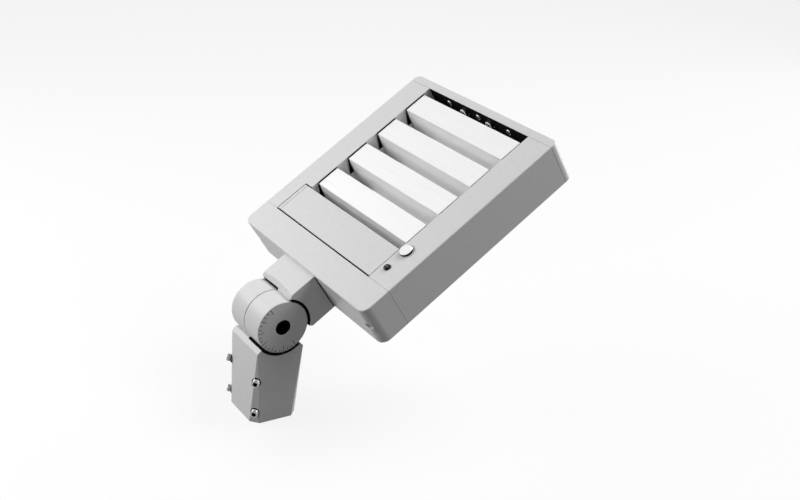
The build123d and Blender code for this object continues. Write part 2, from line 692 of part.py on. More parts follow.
cap_floor = ground_z + cap_wall
block_y = (near_y + cap_wall + bay_y) / 2
terminal_x = terminal_at * half_w
terminal_l = clamp_count * clamp_pitch
terminal = block(terminal_x - terminal_l / 2, terminal_x + terminal_l / 2,
                 block_y - terminal_w / 2, block_y + terminal_w / 2, cap_floor,
                 cap_floor + terminal_h)
terminal = chamfer(terminal.edges().filter_by(Axis.X).group_by(Axis.Z)[-1], terminal_soft)
for i in range(clamp_count):
    clamp_x = terminal_x + (i - (clamp_count - 1) / 2) * clamp_pitch
    terminal -= rod(clamp_r, clamp_d, (clamp_x, block_y, cap_floor + terminal_h), (0, 0, -1))
surge_x = -surge_at * half_w
surge = block(surge_x - surge_l / 2, surge_x + surge_l / 2, block_y - surge_w / 2,
              block_y + surge_w / 2, cap_floor, cap_floor + surge_h)
surge = fillet(surge.edges().filter_by(Axis.Z), surge_round)
save("terminal_block", terminal)
save("surge_protector", surge)


# Light bars, LED boards and lens plates
def side_arc(out, top, bottom, toe):
    """Barrelled side from top to bottom, out from the centre line."""
    return ThreePointArc((out, top), (out + bar_bulge, (top + bottom) / 2), (out - toe, bottom))


half_bar = bar_w / 2
groove_z = bar_top - bar_lip
right_side = [
    Line((0, bar_top), (half_bar, bar_top)),
    Line((half_bar, bar_top), (half_bar, groove_z)),
    Line((half_bar, groove_z), (half_bar - lip_groove, groove_z)),
    Line((half_bar - lip_groove, groove_z), (half_bar - lip_groove, groove_z - lip_groove)),
    Line((half_bar - lip_groove, groove_z - lip_groove), (half_bar, groove_z - lip_groove)),
    side_arc(half_bar, groove_z - lip_groove, ledge_z, bar_toe),
    Line((half_bar - bar_toe, ledge_z), (0, ledge_z)),
    Line((0, ledge_z), (0, bar_top)),
]
half_outline = make_face(Wire(right_side))
inner_top, inner_low = bar_top - bar_wall, ledge_z + bar_floor
inner_half = half_bar - bar_wall
fin_edge = fin_gap / 2 + fin_t
side_cell = make_face(Wire([
    Line((fin_edge, inner_top), (inner_half, inner_top)),
    side_arc(inner_half, inner_top, inner_low, bar_toe),
    Line((inner_half - bar_toe, inner_low), (fin_edge, inner_low)),
    Line((fin_edge, inner_low), (fin_edge, inner_top)),
]))
middle_cell = Pos(0, (inner_top + inner_low) / 2) * Rectangle(fin_gap, inner_top - inner_low)
half_section = half_outline - side_cell
section = half_section + mirror(half_section, about=Plane.YZ) - middle_cell
bar = extrude(Plane.YZ * section, bar_l / 2, both=True)

lens_half = half_window - ledge_w - lens_end
board_half = lens_half - board_inset
bar -= block(-board_half, board_half, -board_w / 2, board_w / 2, ledge_z, ledge_z + board_t)
lens_screw_x = lens_half - lens_screw_inset
led_span = 2 * (lens_half - led_inset)
led_x = [i * led_span / (led_cols - 1) - led_span / 2 for i in range(led_cols)]
led_y = [i * led_row_pitch - (led_rows - 1) * led_row_pitch / 2 for i in range(led_rows)]
board = block(-board_half, board_half, -board_w / 2, board_w / 2, ledge_z, ledge_z + board_t)
lens = block(-lens_half, lens_half, -lens_w / 2, lens_w / 2, ledge_z - lens_t, ledge_z)
room_y = board_w / 2 - board_side
lens -= block(-board_half, board_half, -room_y, room_y, ledge_z - chip_t - chip_air, ledge_z)
lens_under = Plane(origin=(0, 0, ledge_z - lens_t), z_dir=(0, 0, -1))
lens_cup = extrude(lens_under * Rectangle(lens_face, lens_face), lens_h, taper=lens_draft)
for at_x in led_x:
    for at_y in led_y:
        board += block(at_x - chip_s / 2, at_x + chip_s / 2, at_y - chip_s / 2,
                       at_y + chip_s / 2, ledge_z - chip_t, ledge_z)
        lens += Pos(at_x, at_y, 0) * lens_cup
lens_screws = []
for at_x in (-lens_screw_x, lens_screw_x):
    lens -= rod(lens_screw_r, lens_t, (at_x, 0, ledge_z), (0, 0, -1))
    bar -= rod(lens_screw_r, lens_screw_grip + hole_end / 2, (at_x, 0, ledge_z), (0, 0, 1))
for at_x in (-ledge_x, ledge_x):
    for at_y in (-bar_screw_gap, bar_screw_gap):
        bar -= rod(screw_r, bar_grip + hole_end, (at_x, at_y, ledge_z), (0, 0, 1))
for number, centre_y in enumerate(bar_y, 1):
    save(f"light_bar_{number}", Pos(0, centre_y, 0) * bar)
    save(f"led_board_{number}", Pos(0, centre_y, 0) * board)
    save(f"bar_lens_{number}", Pos(0, centre_y, 0) * lens)
    for at_x in (-lens_screw_x, lens_screw_x):
        lens_screws.append(pan_screw(lens_screw_r, lens_head_r, lens_head_h,
                                     lens_t + lens_screw_grip,
                                     (at_x, centre_y, ledge_z - lens_t), (0, 0, 1)))
save("lens_screws", Compound(children=lens_screws))
print("head, width, length and depth in mm:", round(head_w, 1), round(end_y - near_y, 1),
      round(head_d, 1))
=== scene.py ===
# %% [markdown]
# # A slotted LED area light on a tilting knuckle
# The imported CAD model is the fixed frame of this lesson: every solid is already at its place, in
# metres. What is left for Blender is what the eye reads as real: paint, bare metal, rubber and
# clear plastic, the optics under the light bars, the screws, the light and the camera.

# %% Load the frame
from math import atan2, pi, radians

import bpy
from mathutils import Matrix, Vector


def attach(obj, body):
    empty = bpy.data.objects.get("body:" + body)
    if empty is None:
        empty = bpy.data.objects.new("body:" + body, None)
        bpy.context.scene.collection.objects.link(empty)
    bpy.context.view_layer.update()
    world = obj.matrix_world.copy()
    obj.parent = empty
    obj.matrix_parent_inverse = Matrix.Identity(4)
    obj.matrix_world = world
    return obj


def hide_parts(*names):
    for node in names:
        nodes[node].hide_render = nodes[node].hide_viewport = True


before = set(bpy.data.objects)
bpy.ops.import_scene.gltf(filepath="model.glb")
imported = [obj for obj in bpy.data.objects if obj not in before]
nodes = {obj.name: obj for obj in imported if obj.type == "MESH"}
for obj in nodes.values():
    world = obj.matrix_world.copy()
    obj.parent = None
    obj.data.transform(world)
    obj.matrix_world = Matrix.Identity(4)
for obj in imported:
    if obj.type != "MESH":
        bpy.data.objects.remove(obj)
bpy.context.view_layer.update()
MM = 0.001
print("CAD nodes:", len(nodes))

# %% [markdown]
# ## Two frames
# The lamp head is drawn lying flat, with the knuckle axis as its X axis, and is then tilted.
# Pieces for the head could be modelled tilted, at their final place, but each one would then
# need its own sums. It is easier to model them flat as well and to move them by one matrix.

# %% The place of the head
HEAD_TILT = radians(35.5)
PIVOT_PLACE = Matrix.Translation((0, 0, 136 * MM))
HEAD = PIVOT_PLACE @ Matrix.Rotation(HEAD_TILT, 4, "X")
print("the head is moved by", [round(v, 3) for v in HEAD.translation])

# %% [markdown]
# ## Faces of the flat head
# New pieces are set against a few faces of the CAD part. These could be read from its meshes, but
# written down they can be checked against a drawing. They are measured in the flat head: X across
# it, Y along it from the knuckle axis, Z upwards.

# %% Places in the flat head
HALF_WINDOW = 109 * MM      # from the middle to the inner face of a side rail
SKY = 32.4 * MM             # top of the rails
GROUND = -30 * MM           # underside of the rails
LEDGE = -24 * MM            # seat of the light bars on the ledges
BAY_NEAR = 111.1 * MM       # wall of the near cap, beside the driver cover
FAR_WALL = 385.6 * MM       # wall of the far cap, in the last slot
BAR_MIDDLES = [(192.3 + 54.5 * i) * MM for i in range(4)]
print("bars at", [round(y, 4) for y in BAR_MIDDLES])

# %% [markdown]
# ## Colours and shader nodes
# Colours are written as sRGB hex values, as a paint chart gives them, but a shader works with
# linear light. One function turns the one into the other. A second one adds a node, gives it its
# settings, and either links or fills each input. Nodes could also be laid out by hand in the
# shader editor, but written down they can be read, compared and changed in one place.


# %% Helpers for materials
def linear(code):
    """The linear colour of an sRGB hex value such as #C8C8C8."""
    parts = [int(code[i:i + 2], 16) / 255 for i in (1, 3, 5)]
    return [p / 12.92 if p <= 0.04045 else ((p + 0.055) / 1.055) ** 2.4 for p in parts] + [1.0]


def add_node(tree, kind, inputs=None, **settings):
    """A node with its settings. An input that is given a socket is linked, any other filled."""
    node = tree.nodes.new(kind)
    for name, value in settings.items():
        setattr(node, name, value)
    for key, value in (inputs or {}).items():
        if isinstance(value, bpy.types.NodeSocket):
            tree.links.new(value, node.inputs[key])
        else:
            node.inputs[key].default_value = value
    return node


print("a mid grey is", round(linear("#808080")[0], 3), "in linear light")

# %% [markdown]
# ## The start of a material
# Every material starts from one Principled shader. Some also get a lighter tone at their edges: a
# painted highlight, on the black oxide also rubbed wear. These could be painted by hand, but a
# Bevel node finds the edges on any shape: where the normal that it rounds turns away from the flat
# one, there is an edge.


# %% Start of a material
def start_material(name, code, roughness, metallic=0.0, **more):
    """A new material with one Principled shader. Returns the material, its tree and the shader."""
    material = bpy.data.materials.new(name)
    material.use_nodes = True
    tree = material.node_tree
    shader = tree.nodes["Principled BSDF"]
    shader.inputs["Base Color"].default_value = linear(code)
    shader.inputs["Roughness"].default_value = roughness
    shader.inputs["Metallic"].default_value = metallic
    for key, value in more.items():
        shader.inputs[key.replace("_", " ")].default_value = value
    return material, tree, shader


def find_edges(tree, radius, samples):
    """A normal that is rounded at the edges, and a value that is 1 away from them and falls."""
    rounded = add_node(tree, "ShaderNodeBevel", {"Radius": radius}, samples=samples)
    flat = add_node(tree, "ShaderNodeNewGeometry").outputs["Normal"]
    turn = add_node(tree, "ShaderNodeVectorMath",
                    {0: rounded.outputs["Normal"], 1: flat}, operation="DOT_PRODUCT")
    return rounded.outputs["Normal"], turn.outputs["Value"]


print("materials start from one shader")

# %% [markdown]
# ## Silver powder coat
# The castings and rails are aluminium with a baked silver-grey powder coat. Powder melts into a
# film with a very fine orange peel, so the surface is matte and even, with a soft sheen. One flat
# colour would look like plastic, so two close tones, a peel and lighter edges are mixed; the
# lighter edges are a painted highlight. Real grains are about 0.3 mm, too fine for this picture,
# so the peel is drawn at about 1.2 mm.

# %% Powder coat
powder_coat, tree, shader = start_material("powder_coated_aluminium", "#D5D5D5", 0.5)
place = add_node(tree, "ShaderNodeTexCoord").outputs["Object"]
cloud = add_node(tree, "ShaderNodeTexNoise",
                 {"Vector": place, "Scale": 1 / (7 * MM), "Detail": 3.0, "Roughness": 0.6})
tone = add_node(tree, "ShaderNodeMix",
                {0: cloud.outputs["Fac"], 6: linear("#D0D0D0"), 7: linear("#DADADA")},
                data_type="RGBA")
rounded, turn = find_edges(tree, 0.7 * MM, 4)
edge = add_node(tree, "ShaderNodeMapRange",
                {"Value": turn, "From Min": 0.995, "From Max": 0.85,
                 "To Min": 0.0, "To Max": 0.7})
# Edges mixed towards #ECECEC: a painted highlight along every edge of the coat.
edge_highlight_tone = add_node(tree, "ShaderNodeMix",
                     {0: edge.outputs["Result"], 6: tone.outputs[2], 7: linear("#ECECEC")},
                     data_type="RGBA")
peel = add_node(tree, "ShaderNodeTexNoise",
                {"Vector": place, "Scale": 1 / (1.2 * MM), "Detail": 2.0})
relief = add_node(tree, "ShaderNodeBump",
                  {"Height": peel.outputs["Fac"], "Strength": 0.12, "Distance": 0.1 * MM,
                   "Normal": rounded})
sheen = add_node(tree, "ShaderNodeMapRange",
                 {"Value": cloud.outputs["Fac"], "To Min": 0.38, "To Max": 0.48})
tree.links.new(edge_highlight_tone.outputs[2], shader.inputs["Base Color"])
tree.links.new(relief.outputs["Normal"], shader.inputs["Normal"])
tree.links.new(sheen.outputs["Result"], shader.inputs["Roughness"])
print("made", powder_coat.name)

# %% [markdown]
# ## Brushed extrusion
# The light bars are extruded and brushed along their length, then clear anodised, which leaves
# them bright but milky rather than mirror-like. The brush leaves long fine lines. An anisotropic
# shader could stand for them, but it shows no single line, so here a noise is squeezed across
# them: short in Y and Z, long in X. Real lines are 0.1 mm wide, and here they are about 1 mm, so
# that they show.

# %% Brushed aluminium
brushed_aluminium, tree, shader = start_material("brushed_anodised_aluminium", "#ECECEC", 0.5, 0.3)
place = add_node(tree, "ShaderNodeTexCoord").outputs["Object"]
stretch = add_node(tree, "ShaderNodeMapping",
                   {"Vector": place, "Scale": (1 / (60 * MM), 1 / (1.1 * MM), 1 / (1.1 * MM))})
lines = add_node(tree, "ShaderNodeTexNoise",
                 {"Vector": stretch.outputs["Vector"], "Scale": 1.0, "Detail": 4.0,
                  "Roughness": 0.65})
tone = add_node(tree, "ShaderNodeMix",
                {0: lines.outputs["Fac"], 6: linear("#E2E2E2"), 7: linear("#F6F6F6")},
                data_type="RGBA")
grain = add_node(tree, "ShaderNodeBump",
                 {"Height": lines.outputs["Fac"], "Strength": 0.25, "Distance": 0.05 * MM})
gloss = add_node(tree, "ShaderNodeMapRange",
                 {"Value": lines.outputs["Fac"], "To Min": 0.45, "To Max": 0.62})
tree.links.new(tone.outputs[2], shader.inputs["Base Color"])
tree.links.new(grain.outputs["Normal"], shader.inputs["Normal"])
tree.links.new(gloss.outputs["Result"], shader.inputs["Roughness"])
print("made", brushed_aluminium.name)

# %% [markdown]
# ## Other metals
# Zinc plating is a bright, slightly blotchy skin on small steel screws. The black bolts are
# blackened steel with a trace of oil. Stainless steel is turned and polished, with rings left by
# the tool. The tray and the backing plate are mill-finish sheet, with rolling lines. Zinc flake
# is a matte, nearly white coat; here it paints highlights, on the rims of screws and the crowns of
# bolts. Each could have its own tree, but all of them are two tones in patches with a gloss that
# follows, so one function with six sets of values is enough.


# %% Metals
def metal(name, dark, light, roughness, spot, stretch_y=1.0, metallic=1.0, bump=0.05):
    """A metal with two tones in patches of the size given, and a roughness that follows them."""
    material, tree, shader = start_material(name, light, roughness, metallic)
    place = add_node(tree, "ShaderNodeTexCoord").outputs["Object"]
    scale = add_node(tree, "ShaderNodeMapping",
                     {"Vector": place, "Scale": (1 / spot, 1 / (spot * stretch_y), 1 / spot)})
    patch = add_node(tree, "ShaderNodeTexNoise",
                     {"Vector": scale.outputs["Vector"], "Scale": 1.0, "Detail": 3.0})
    tone = add_node(tree, "ShaderNodeMix",
                    {0: patch.outputs["Fac"], 6: linear(dark), 7: linear(light)},
                    data_type="RGBA")
    rough = add_node(tree, "ShaderNodeMapRange",
                     {"Value": patch.outputs["Fac"], "To Min": roughness * 0.8,
                      "To Max": roughness * 1.2})
    relief = add_node(tree, "ShaderNodeBump",
                      {"Height": patch.outputs["Fac"], "Strength": bump, "Distance": 0.05 * MM})
    tree.links.new(tone.outputs[2], shader.inputs["Base Color"])
    tree.links.new(rough.outputs["Result"], shader.inputs["Roughness"])
    tree.links.new(relief.outputs["Normal"], shader.inputs["Normal"])
    return material


zinc_plated_steel = metal("zinc_plated_steel", "#A9ABB0", "#D6D7DA", 0.2, 1.5 * MM)
blackened_steel = metal("blackened_steel", "#0C0C0D", "#1C1C1E", 0.38, 2 * MM, metallic=0.6)
polished_stainless = metal("polished_stainless_steel", "#ECECEC", "#FAFAFA", 0.09, 3 * MM,
                           bump=0.01)
mill_aluminium = metal("mill_finish_sheet_aluminium", "#AEAFB1", "#C8C9CB", 0.36, 1.2 * MM,
                       stretch_y=40)
screw_steel = metal("oiled_set_screw_steel", "#5E5F61", "#C4C5C7", 0.2, 1.6 * MM)
# White zinc flake is used only for painted highlights.
white_highlight_zinc = metal("white_zinc_flake_highlight", "#E2E2E2", "#F4F4F4", 0.45, 1.2 * MM, metallic=0.15)
print("made 6 metals")

# %% [markdown]
# ## Black oxide with bright edges
# The cross head screw is blackened too. Its rim and the edges of its recess are drawn bright:
# partly steel rubbed bare by a driver and a spanner, partly a painted highlight. The same finding
# of edges serves again. A noise breaks the bright line up, because real wear is never even.

# %% Worn black oxide
black_oxide_wear_and_highlight, tree, shader = start_material("black_oxide_steel_wear_and_painted_highlight", "#1B1B1D", 0.3, 1.0)
place = add_node(tree, "ShaderNodeTexCoord").outputs["Object"]
rounded, turn = find_edges(tree, 0.45 * MM, 6)
rub = add_node(tree, "ShaderNodeTexNoise", {"Vector": place, "Scale": 1 / (0.8 * MM)})
edge = add_node(tree, "ShaderNodeMapRange", {"Value": turn, "From Min": 0.99, "From Max": 0.9})
wear_and_highlight = add_node(tree, "ShaderNodeMath",
                {0: edge.outputs["Result"], 1: rub.outputs["Fac"]}, operation="MULTIPLY")
share = add_node(tree, "ShaderNodeMapRange",
                 {"Value": wear_and_highlight.outputs[0], "From Min": 0.15, "From Max": 0.4})
# Bright tone at the edges: rubbed wear and a painted highlight.
tone = add_node(tree, "ShaderNodeMix",
                {0: share.outputs["Result"], 6: linear("#161617"), 7: linear("#D4D4D6")},
                data_type="RGBA")
tree.links.new(tone.outputs[2], shader.inputs["Base Color"])
tree.links.new(rounded, shader.inputs["Normal"])
print("made", black_oxide_wear_and_highlight.name)

# %% [markdown]
# ## Rubber and plastics
# Black EPDM seals are dull, with a bloom of paler dust. The driver case is white enamelled
# aluminium, the terminal block moulded nylon, the surge protector glossy black epoxy. The marks
# of the scale are filled with black enamel, and the diodes carry yellow phosphor. Again one
# function serves all of them: a non-metal with a fine skin. Rubber gets almost no specular
# light, or the white sky would turn it grey.


# %% Rubber, enamel and plastics
def moulded(name, dark, light, roughness, spot, bump=0.2, **more):
    """A non-metal with a fine skin of the size given."""
    material, tree, shader = start_material(name, light, roughness, **more)
    place = add_node(tree, "ShaderNodeTexCoord").outputs["Object"]
    patch = add_node(tree, "ShaderNodeTexNoise",
                     {"Vector": place, "Scale": 1 / spot, "Detail": 4.0, "Roughness": 0.6})
    tone = add_node(tree, "ShaderNodeMix",
                    {0: patch.outputs["Fac"], 6: linear(dark), 7: linear(light)},
                    data_type="RGBA")
    relief = add_node(tree, "ShaderNodeBump",
                      {"Height": patch.outputs["Fac"], "Strength": bump, "Distance": 0.1 * MM})
    tree.links.new(tone.outputs[2], shader.inputs["Base Color"])
    tree.links.new(relief.outputs["Normal"], shader.inputs["Normal"])
    return material


black_rubber = moulded("black_epdm_rubber", "#060606", "#101010", 0.9, 1.5 * MM,
                       Specular_IOR_Level=0.05)
white_enamel = moulded("white_enamel", "#D6D6D3", "#E4E4E1", 0.35, 5 * MM, bump=0.05)
nylon = moulded("natural_nylon", "#CFCABB", "#DDD8CA", 0.5, 2 * MM)
tick_enamel = moulded("black_enamel_infill", "#0E0E0E", "#1C1C1C", 0.5, 0.8 * MM)
black_epoxy = moulded("black_epoxy", "#0B0B0D", "#17171A", 0.25, 3 * MM, bump=0.05)
phosphor = moulded("yellow_phosphor", "#D9C24A", "#EBD766", 0.6, 0.4 * MM)
print("made 6 non-metals")

# %% [markdown]
# ## Printed boards
# The LED boards carry a white solder mask over copper, which shows through as faint wide tracks.
# The tracks could be modelled, but they are thinner than a hair, so a brick pattern with joints
# of 0.6 mm draws them.

# %% Solder mask
board_mask, tree, shader = start_material("white_solder_mask", "#EDEDE8", 0.35)
place = add_node(tree, "ShaderNodeTexCoord").outputs["Object"]
track = add_node(tree, "ShaderNodeTexBrick",
                 {"Vector": place, "Scale": 1.0, "Brick Width": 18 * MM, "Row Height": 9 * MM,
                  "Mortar Size": 0.6 * MM, "Color1": linear("#EFEFEA"),
                  "Color2": linear("#E9E9E2"), "Mortar": linear("#DAD8CC")})
tree.links.new(track.outputs["Color"], shader.inputs["Base Color"])
print("made", board_mask.name)

# %% [markdown]
# ## Clear polycarbonate
# The optics are injection moulded in one clear plate. Polycarbonate bends light a little more
# than glass, with an index of 1.58. A Glass node could draw it, but the Principled shader that all
# others use has transmission too. A trace of grey keeps its thickness readable, and a very
# shallow wave stands for the flow of the melt.

# %% Polycarbonate
polycarbonate, tree, shader = start_material(
    "clear_polycarbonate", "#F4F7F8", 0.06, IOR=1.58, Transmission_Weight=1.0)
place = add_node(tree, "ShaderNodeTexCoord").outputs["Object"]
flow = add_node(tree, "ShaderNodeTexNoise", {"Vector": place, "Scale": 1 / (15 * MM)})
wave = add_node(tree, "ShaderNodeBump",
                {"Height": flow.outputs["Fac"], "Strength": 0.05, "Distance": 0.1 * MM})
tree.links.new(wave.outputs["Normal"], shader.inputs["Normal"])
print("made", polycarbonate.name)

# %% [markdown]
# ## Dressing the CAD nodes
# The solids keep their shape. Each one only gets the material that its real part is made of. A
# table of material and nodes is easier to check than forty lines that say the same.

# %% Materials of the CAD nodes
DRESS = {
    powder_coat: ["slip_fitter", "knuckle_arm", "near_end_cap", "far_end_cap", "side_rail_left",
                  "side_rail_right", "driver_cover"],
    mill_aluminium: ["driver_tray", "rail_backing_plate"],
    black_rubber: ["arm_gasket", "cover_gasket"],
    zinc_plated_steel: ["fitter_set_screws", "pivot_washer", "pivot_nut", "arm_bolts",
                        "corner_screws", "bar_screws", "tray_screws", "cover_screws",
                        "driver_screws", "lens_screws", "polished_bolt_nut",
                        "far_wall_screws"],
    # The pivot bolt is blackened so that the bottom of its well reads as dark as shade: painted
    # shade.
    blackened_steel: ["far_wall_bolts", "far_wall_washers", "pivot_bolt"],
    black_oxide_wear_and_highlight: ["cross_screw"],
    polished_stainless: ["polished_bolt"],
    white_enamel: ["led_driver"],
    nylon: ["terminal_block"],
    black_epoxy: ["surge_protector"],
    brushed_aluminium: [f"light_bar_{i}" for i in range(1, 5)],
    board_mask: [f"led_board_{i}" for i in range(1, 5)],
    polycarbonate: [f"bar_lens_{i}" for i in range(1, 5)],
}
for material, names in DRESS.items():
    for name in names:
        nodes[name].data.materials.clear()
        nodes[name].data.materials.append(material)
print("dressed", sum(len(names) for names in DRESS.values()), "nodes")

# %% [markdown]
# ## Selecting
# Operators act on whatever is selected, so each step starts with a clean selection. By hand one
# would click on faces, edges or points. In code they are picked by where they are and which way
# they point, which still works when a size changes.


# %% Helpers that select
def only(piece):
    """Select one piece and nothing else."""
    bpy.ops.object.select_all(action="DESELECT")
    piece.select_set(True)
    bpy.context.view_layer.objects.active = piece


def pick(piece, kind, test):
    """Enter edit mode with the FACE, EDGE or VERT elements that pass the test selected."""
    only(piece)
    bpy.ops.object.mode_set(mode="EDIT")
    bpy.ops.mesh.select_mode(type=kind)
    bpy.ops.mesh.select_all(action="DESELECT")
    bpy.ops.object.mode_set(mode="OBJECT")
    mesh = piece.data
    if kind == "FACE":
        for face in mesh.polygons:
            face.select = test(face.center, face.normal)
    elif kind == "EDGE":
        for line in mesh.edges:
            a, b = (mesh.vertices[i].co for i in line.vertices)
            line.select = test((a + b) / 2, (b - a).normalized())
    else:
        for point in mesh.vertices:
            point.select = test(point.co, point.normal)
    bpy.ops.object.mode_set(mode="EDIT")


def leave():
    """Leave edit mode."""
    bpy.ops.object.mode_set(mode="OBJECT")


def everywhere(place, way):
    """A test that every element passes."""
    return True


print("elements are picked by place and direction")

# %% [markdown]
# ## Placing
# A finished piece is put in its place and the place is applied, so that its object sits at the
# origin and its mesh holds the place. Copies could share one mesh, but here each gets its own,
# because all copies are joined into one piece in the end.


# %% Helpers that place
def shift(x, y, z):
    """The matrix of a move."""
    return Matrix.Translation((x, y, z))


def settle(piece, place=Matrix.Identity(4)):
    """Move a piece to its place and apply the place."""
    bpy.context.view_layer.update()
    piece.matrix_world = place @ piece.matrix_world
    bpy.context.view_layer.update()
    only(piece)
    bpy.ops.object.transform_apply(location=True, rotation=True, scale=True)


def join(pieces):
    """Join pieces into the first of them."""
    only(pieces[0])
    for piece in pieces:
        piece.select_set(True)
    bpy.ops.object.join()
    return pieces[0]


def spread(piece, places):
    """Copy a piece to each place, every copy with its own mesh, and join the copies into one."""
    copies = []
    for place in places:
        twin = piece.copy()
        twin.data = piece.data.copy()
        bpy.context.scene.collection.objects.link(twin)
        settle(twin, place)
        copies.append(twin)
    bpy.data.objects.remove(piece)
    return join(copies)


def hand_over(piece, name, material, body, slot, *stands_for):
    """Name a finished piece, smooth it, dress it, and tell the frame where it belongs."""
    only(piece)
    bpy.ops.object.shade_smooth_by_angle(angle=radians(35))
    piece.name = piece.data.name = name
    piece.data.materials.clear()
    piece.data.materials.append(material)
    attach(piece, body)
    if stands_for:
        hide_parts(*stands_for)
    print(name, len(piece.data.polygons), "faces")


print("pieces are moved, joined, copied and handed over")

# %% [markdown]
# ## Shaping
# A few moves come back in every piece: a box or a rod of a given size, points that are scaled
# about a centre, edges that are rounded, a modifier that is applied, and a hole that is cut. They
# could be written out each time, but short names read like the steps of a hand at work.


# %% Helpers that shape
def resize(piece, test, value, centre=(0, 0, 0)):
    """Scale the points that pass the test."""
    pick(piece, "VERT", test)
    bpy.ops.transform.resize(value=value, center_override=centre)
    leave()


def round_edges(piece, test, width, segments):
    """Bevel the edges that pass the test."""
    pick(piece, "EDGE", test)
    bpy.ops.mesh.bevel(offset=width, segments=segments)
    leave()


def make_block(*size):
    """A box of the size given, round the origin."""
    bpy.ops.mesh.primitive_cube_add(size=1)
    block = bpy.context.object
    resize(block, everywhere, size)
    return block


def make_rod(radius, depth, sides, **more):
    """A cylinder round the origin, or at the location and rotation given."""
    bpy.ops.mesh.primitive_cylinder_add(vertices=sides, radius=radius, depth=depth, **more)
    rod = bpy.context.object
    settle(rod)
    return rod


def use_modifier(piece, kind, **settings):
    """Add a modifier with its settings and apply it."""
    only(piece)
    modifier = piece.modifiers.new(kind.title(), kind)
    for name, value in settings.items():
        setattr(modifier, name, value)
    bpy.ops.object.modifier_apply(modifier=modifier.name)


def cut_with(piece, cutter):
    """Cut the shape of one piece out of another and throw the cutter away."""
    use_modifier(piece, "BOOLEAN", object=cutter, operation="DIFFERENCE", solver="EXACT")
    bpy.data.objects.remove(cutter)
    only(piece)


print("six moves shape most pieces")

# %% [markdown]
# ## The optics
# Under each bar a clear plate throws the light of twenty diodes sideways along the road. Each
# optic is a shallow dome with a dimple over its diode, on a square foot with soft corners. It
# could be turned from a profile, but it isn't round: it starts as a half sphere that is
# flattened, stretched along the bar, and pushed in at the pole with soft falloff.

# %% One optic
LENS_BOTTOM = LEDGE - 3 * MM
DOME_RADIUS = 3.1 * MM
DOME_DROP = 2 * MM
DIMPLE = 0.55 * MM
FOOT_SIDE = 7.5 * MM


def make_optic():
    """A dimpled dome on its square foot, hanging from the origin."""
    bpy.ops.mesh.primitive_uv_sphere_add(segments=20, ring_count=10, radius=DOME_RADIUS)
    dome = bpy.context.object
    pick(dome, "VERT", everywhere)
    bpy.ops.mesh.bisect(plane_co=(0, 0, -0.01 * MM), plane_no=(0, 0, 1), clear_outer=True,
                        use_fill=True)
    leave()
    resize(dome, everywhere, (1.1, 0.86, DOME_DROP / DOME_RADIUS))
    pick(dome, "VERT", lambda co, n: co.xy.length < 0.2 * MM and co.z < -DOME_DROP / 2)
    bpy.ops.transform.translate(value=(0, 0, DIMPLE), use_proportional_edit=True,
                                proportional_edit_falloff="SMOOTH", proportional_size=1.4 * MM)
    leave()
    foot = make_block(FOOT_SIDE, FOOT_SIDE, 0.8 * MM)
    round_edges(foot, lambda mid, way: abs(way.z) > 0.9, 1.6 * MM, 3)
    round_edges(foot, lambda mid, way: mid.z < -0.3 * MM and abs(way.z) < 0.1, 0.3 * MM, 2)
    settle(dome, shift(0, 0, -0.3 * MM))
    return join([foot, dome])


LED_SPAN = 160 * MM
LED_ROWS = 10 * MM
LED_SPOTS = [(i * LED_SPAN / 9 - LED_SPAN / 2, (j - 0.5) * LED_ROWS)
             for i in range(10) for j in range(2)]
print("one plate has", len(LED_SPOTS), "optics")

# %% [markdown]
# ## The lens plates
# The plate starts as a box whose upright corners and lower rim are rounded. An Array modifier
# could repeat the optics, but a list of the twenty places serves the diodes as well. This is done
# for each of the four bars.

# %% The four lens plates
PLATE_LONG, PLATE_WIDE, PLATE_THICK = 184 * MM, 27 * MM, 3 * MM
for number, middle in enumerate(BAR_MIDDLES, 1):
    optics = spread(make_optic(), [shift(x, y, LENS_BOTTOM - 0.35 * MM) for x, y in LED_SPOTS])
    plate = make_block(PLATE_LONG, PLATE_WIDE, PLATE_THICK)
    round_edges(plate, lambda mid, way: abs(way.z) > 0.9, 3 * MM, 6)
    round_edges(plate, lambda mid, way: mid.z < -1.4 * MM and abs(way.z) < 0.1, 0.7 * MM, 3)
    settle(plate, shift(0, 0, LENS_BOTTOM + PLATE_THICK / 2))
    plate = join([plate, optics])
    settle(plate, HEAD @ shift(0, middle, 0))
    hand_over(plate, f"lens_plate_{number}", polycarbonate, "head", "clear_lens",
              f"bar_lens_{number}")

# %% [markdown]
# ## Phosphor
# The yellow dot of a white diode is a drop of phosphor in a shallow cup. It could be painted on
# the board, but through the dome it is seen at a slant, so it gets a little depth: a disc, inset
# twice, pressed in and raised again. Twenty of them sit on the chips of each board.

# %% Phosphor dots
CHIP_BOTTOM = LEDGE - 0.7 * MM
for number, middle in enumerate(BAR_MIDDLES, 1):
    dot = make_rod(1.35 * MM, 0.3 * MM, 16)
    pick(dot, "FACE", lambda mid, n: n.z < -0.9)
    bpy.ops.mesh.inset(thickness=0.25 * MM)
    bpy.ops.transform.translate(value=(0, 0, 0.1 * MM))
    bpy.ops.mesh.inset(thickness=0.45 * MM)
    bpy.ops.transform.translate(value=(0, 0, -0.12 * MM))
    leave()
    dots = spread(dot, [shift(x, y, CHIP_BOTTOM - 0.12 * MM) for x, y in LED_SPOTS])
    settle(dots, HEAD @ shift(0, middle, 0))
    hand_over(dots, f"phosphor_{number}", phosphor, "head", "board_white")

# %% [markdown]
# ## Pan head screws with a cross recess
# The CAD screws have plain heads. From below, a screw reads as real by its cross recess, so one
# screw is modelled for each size and copied. The head is a disc with a rounded crown. The recess
# could be drawn by a bump, but it is deep enough to throw a shadow, so two wedges, narrow at the
# bottom, are cut away crosswise.


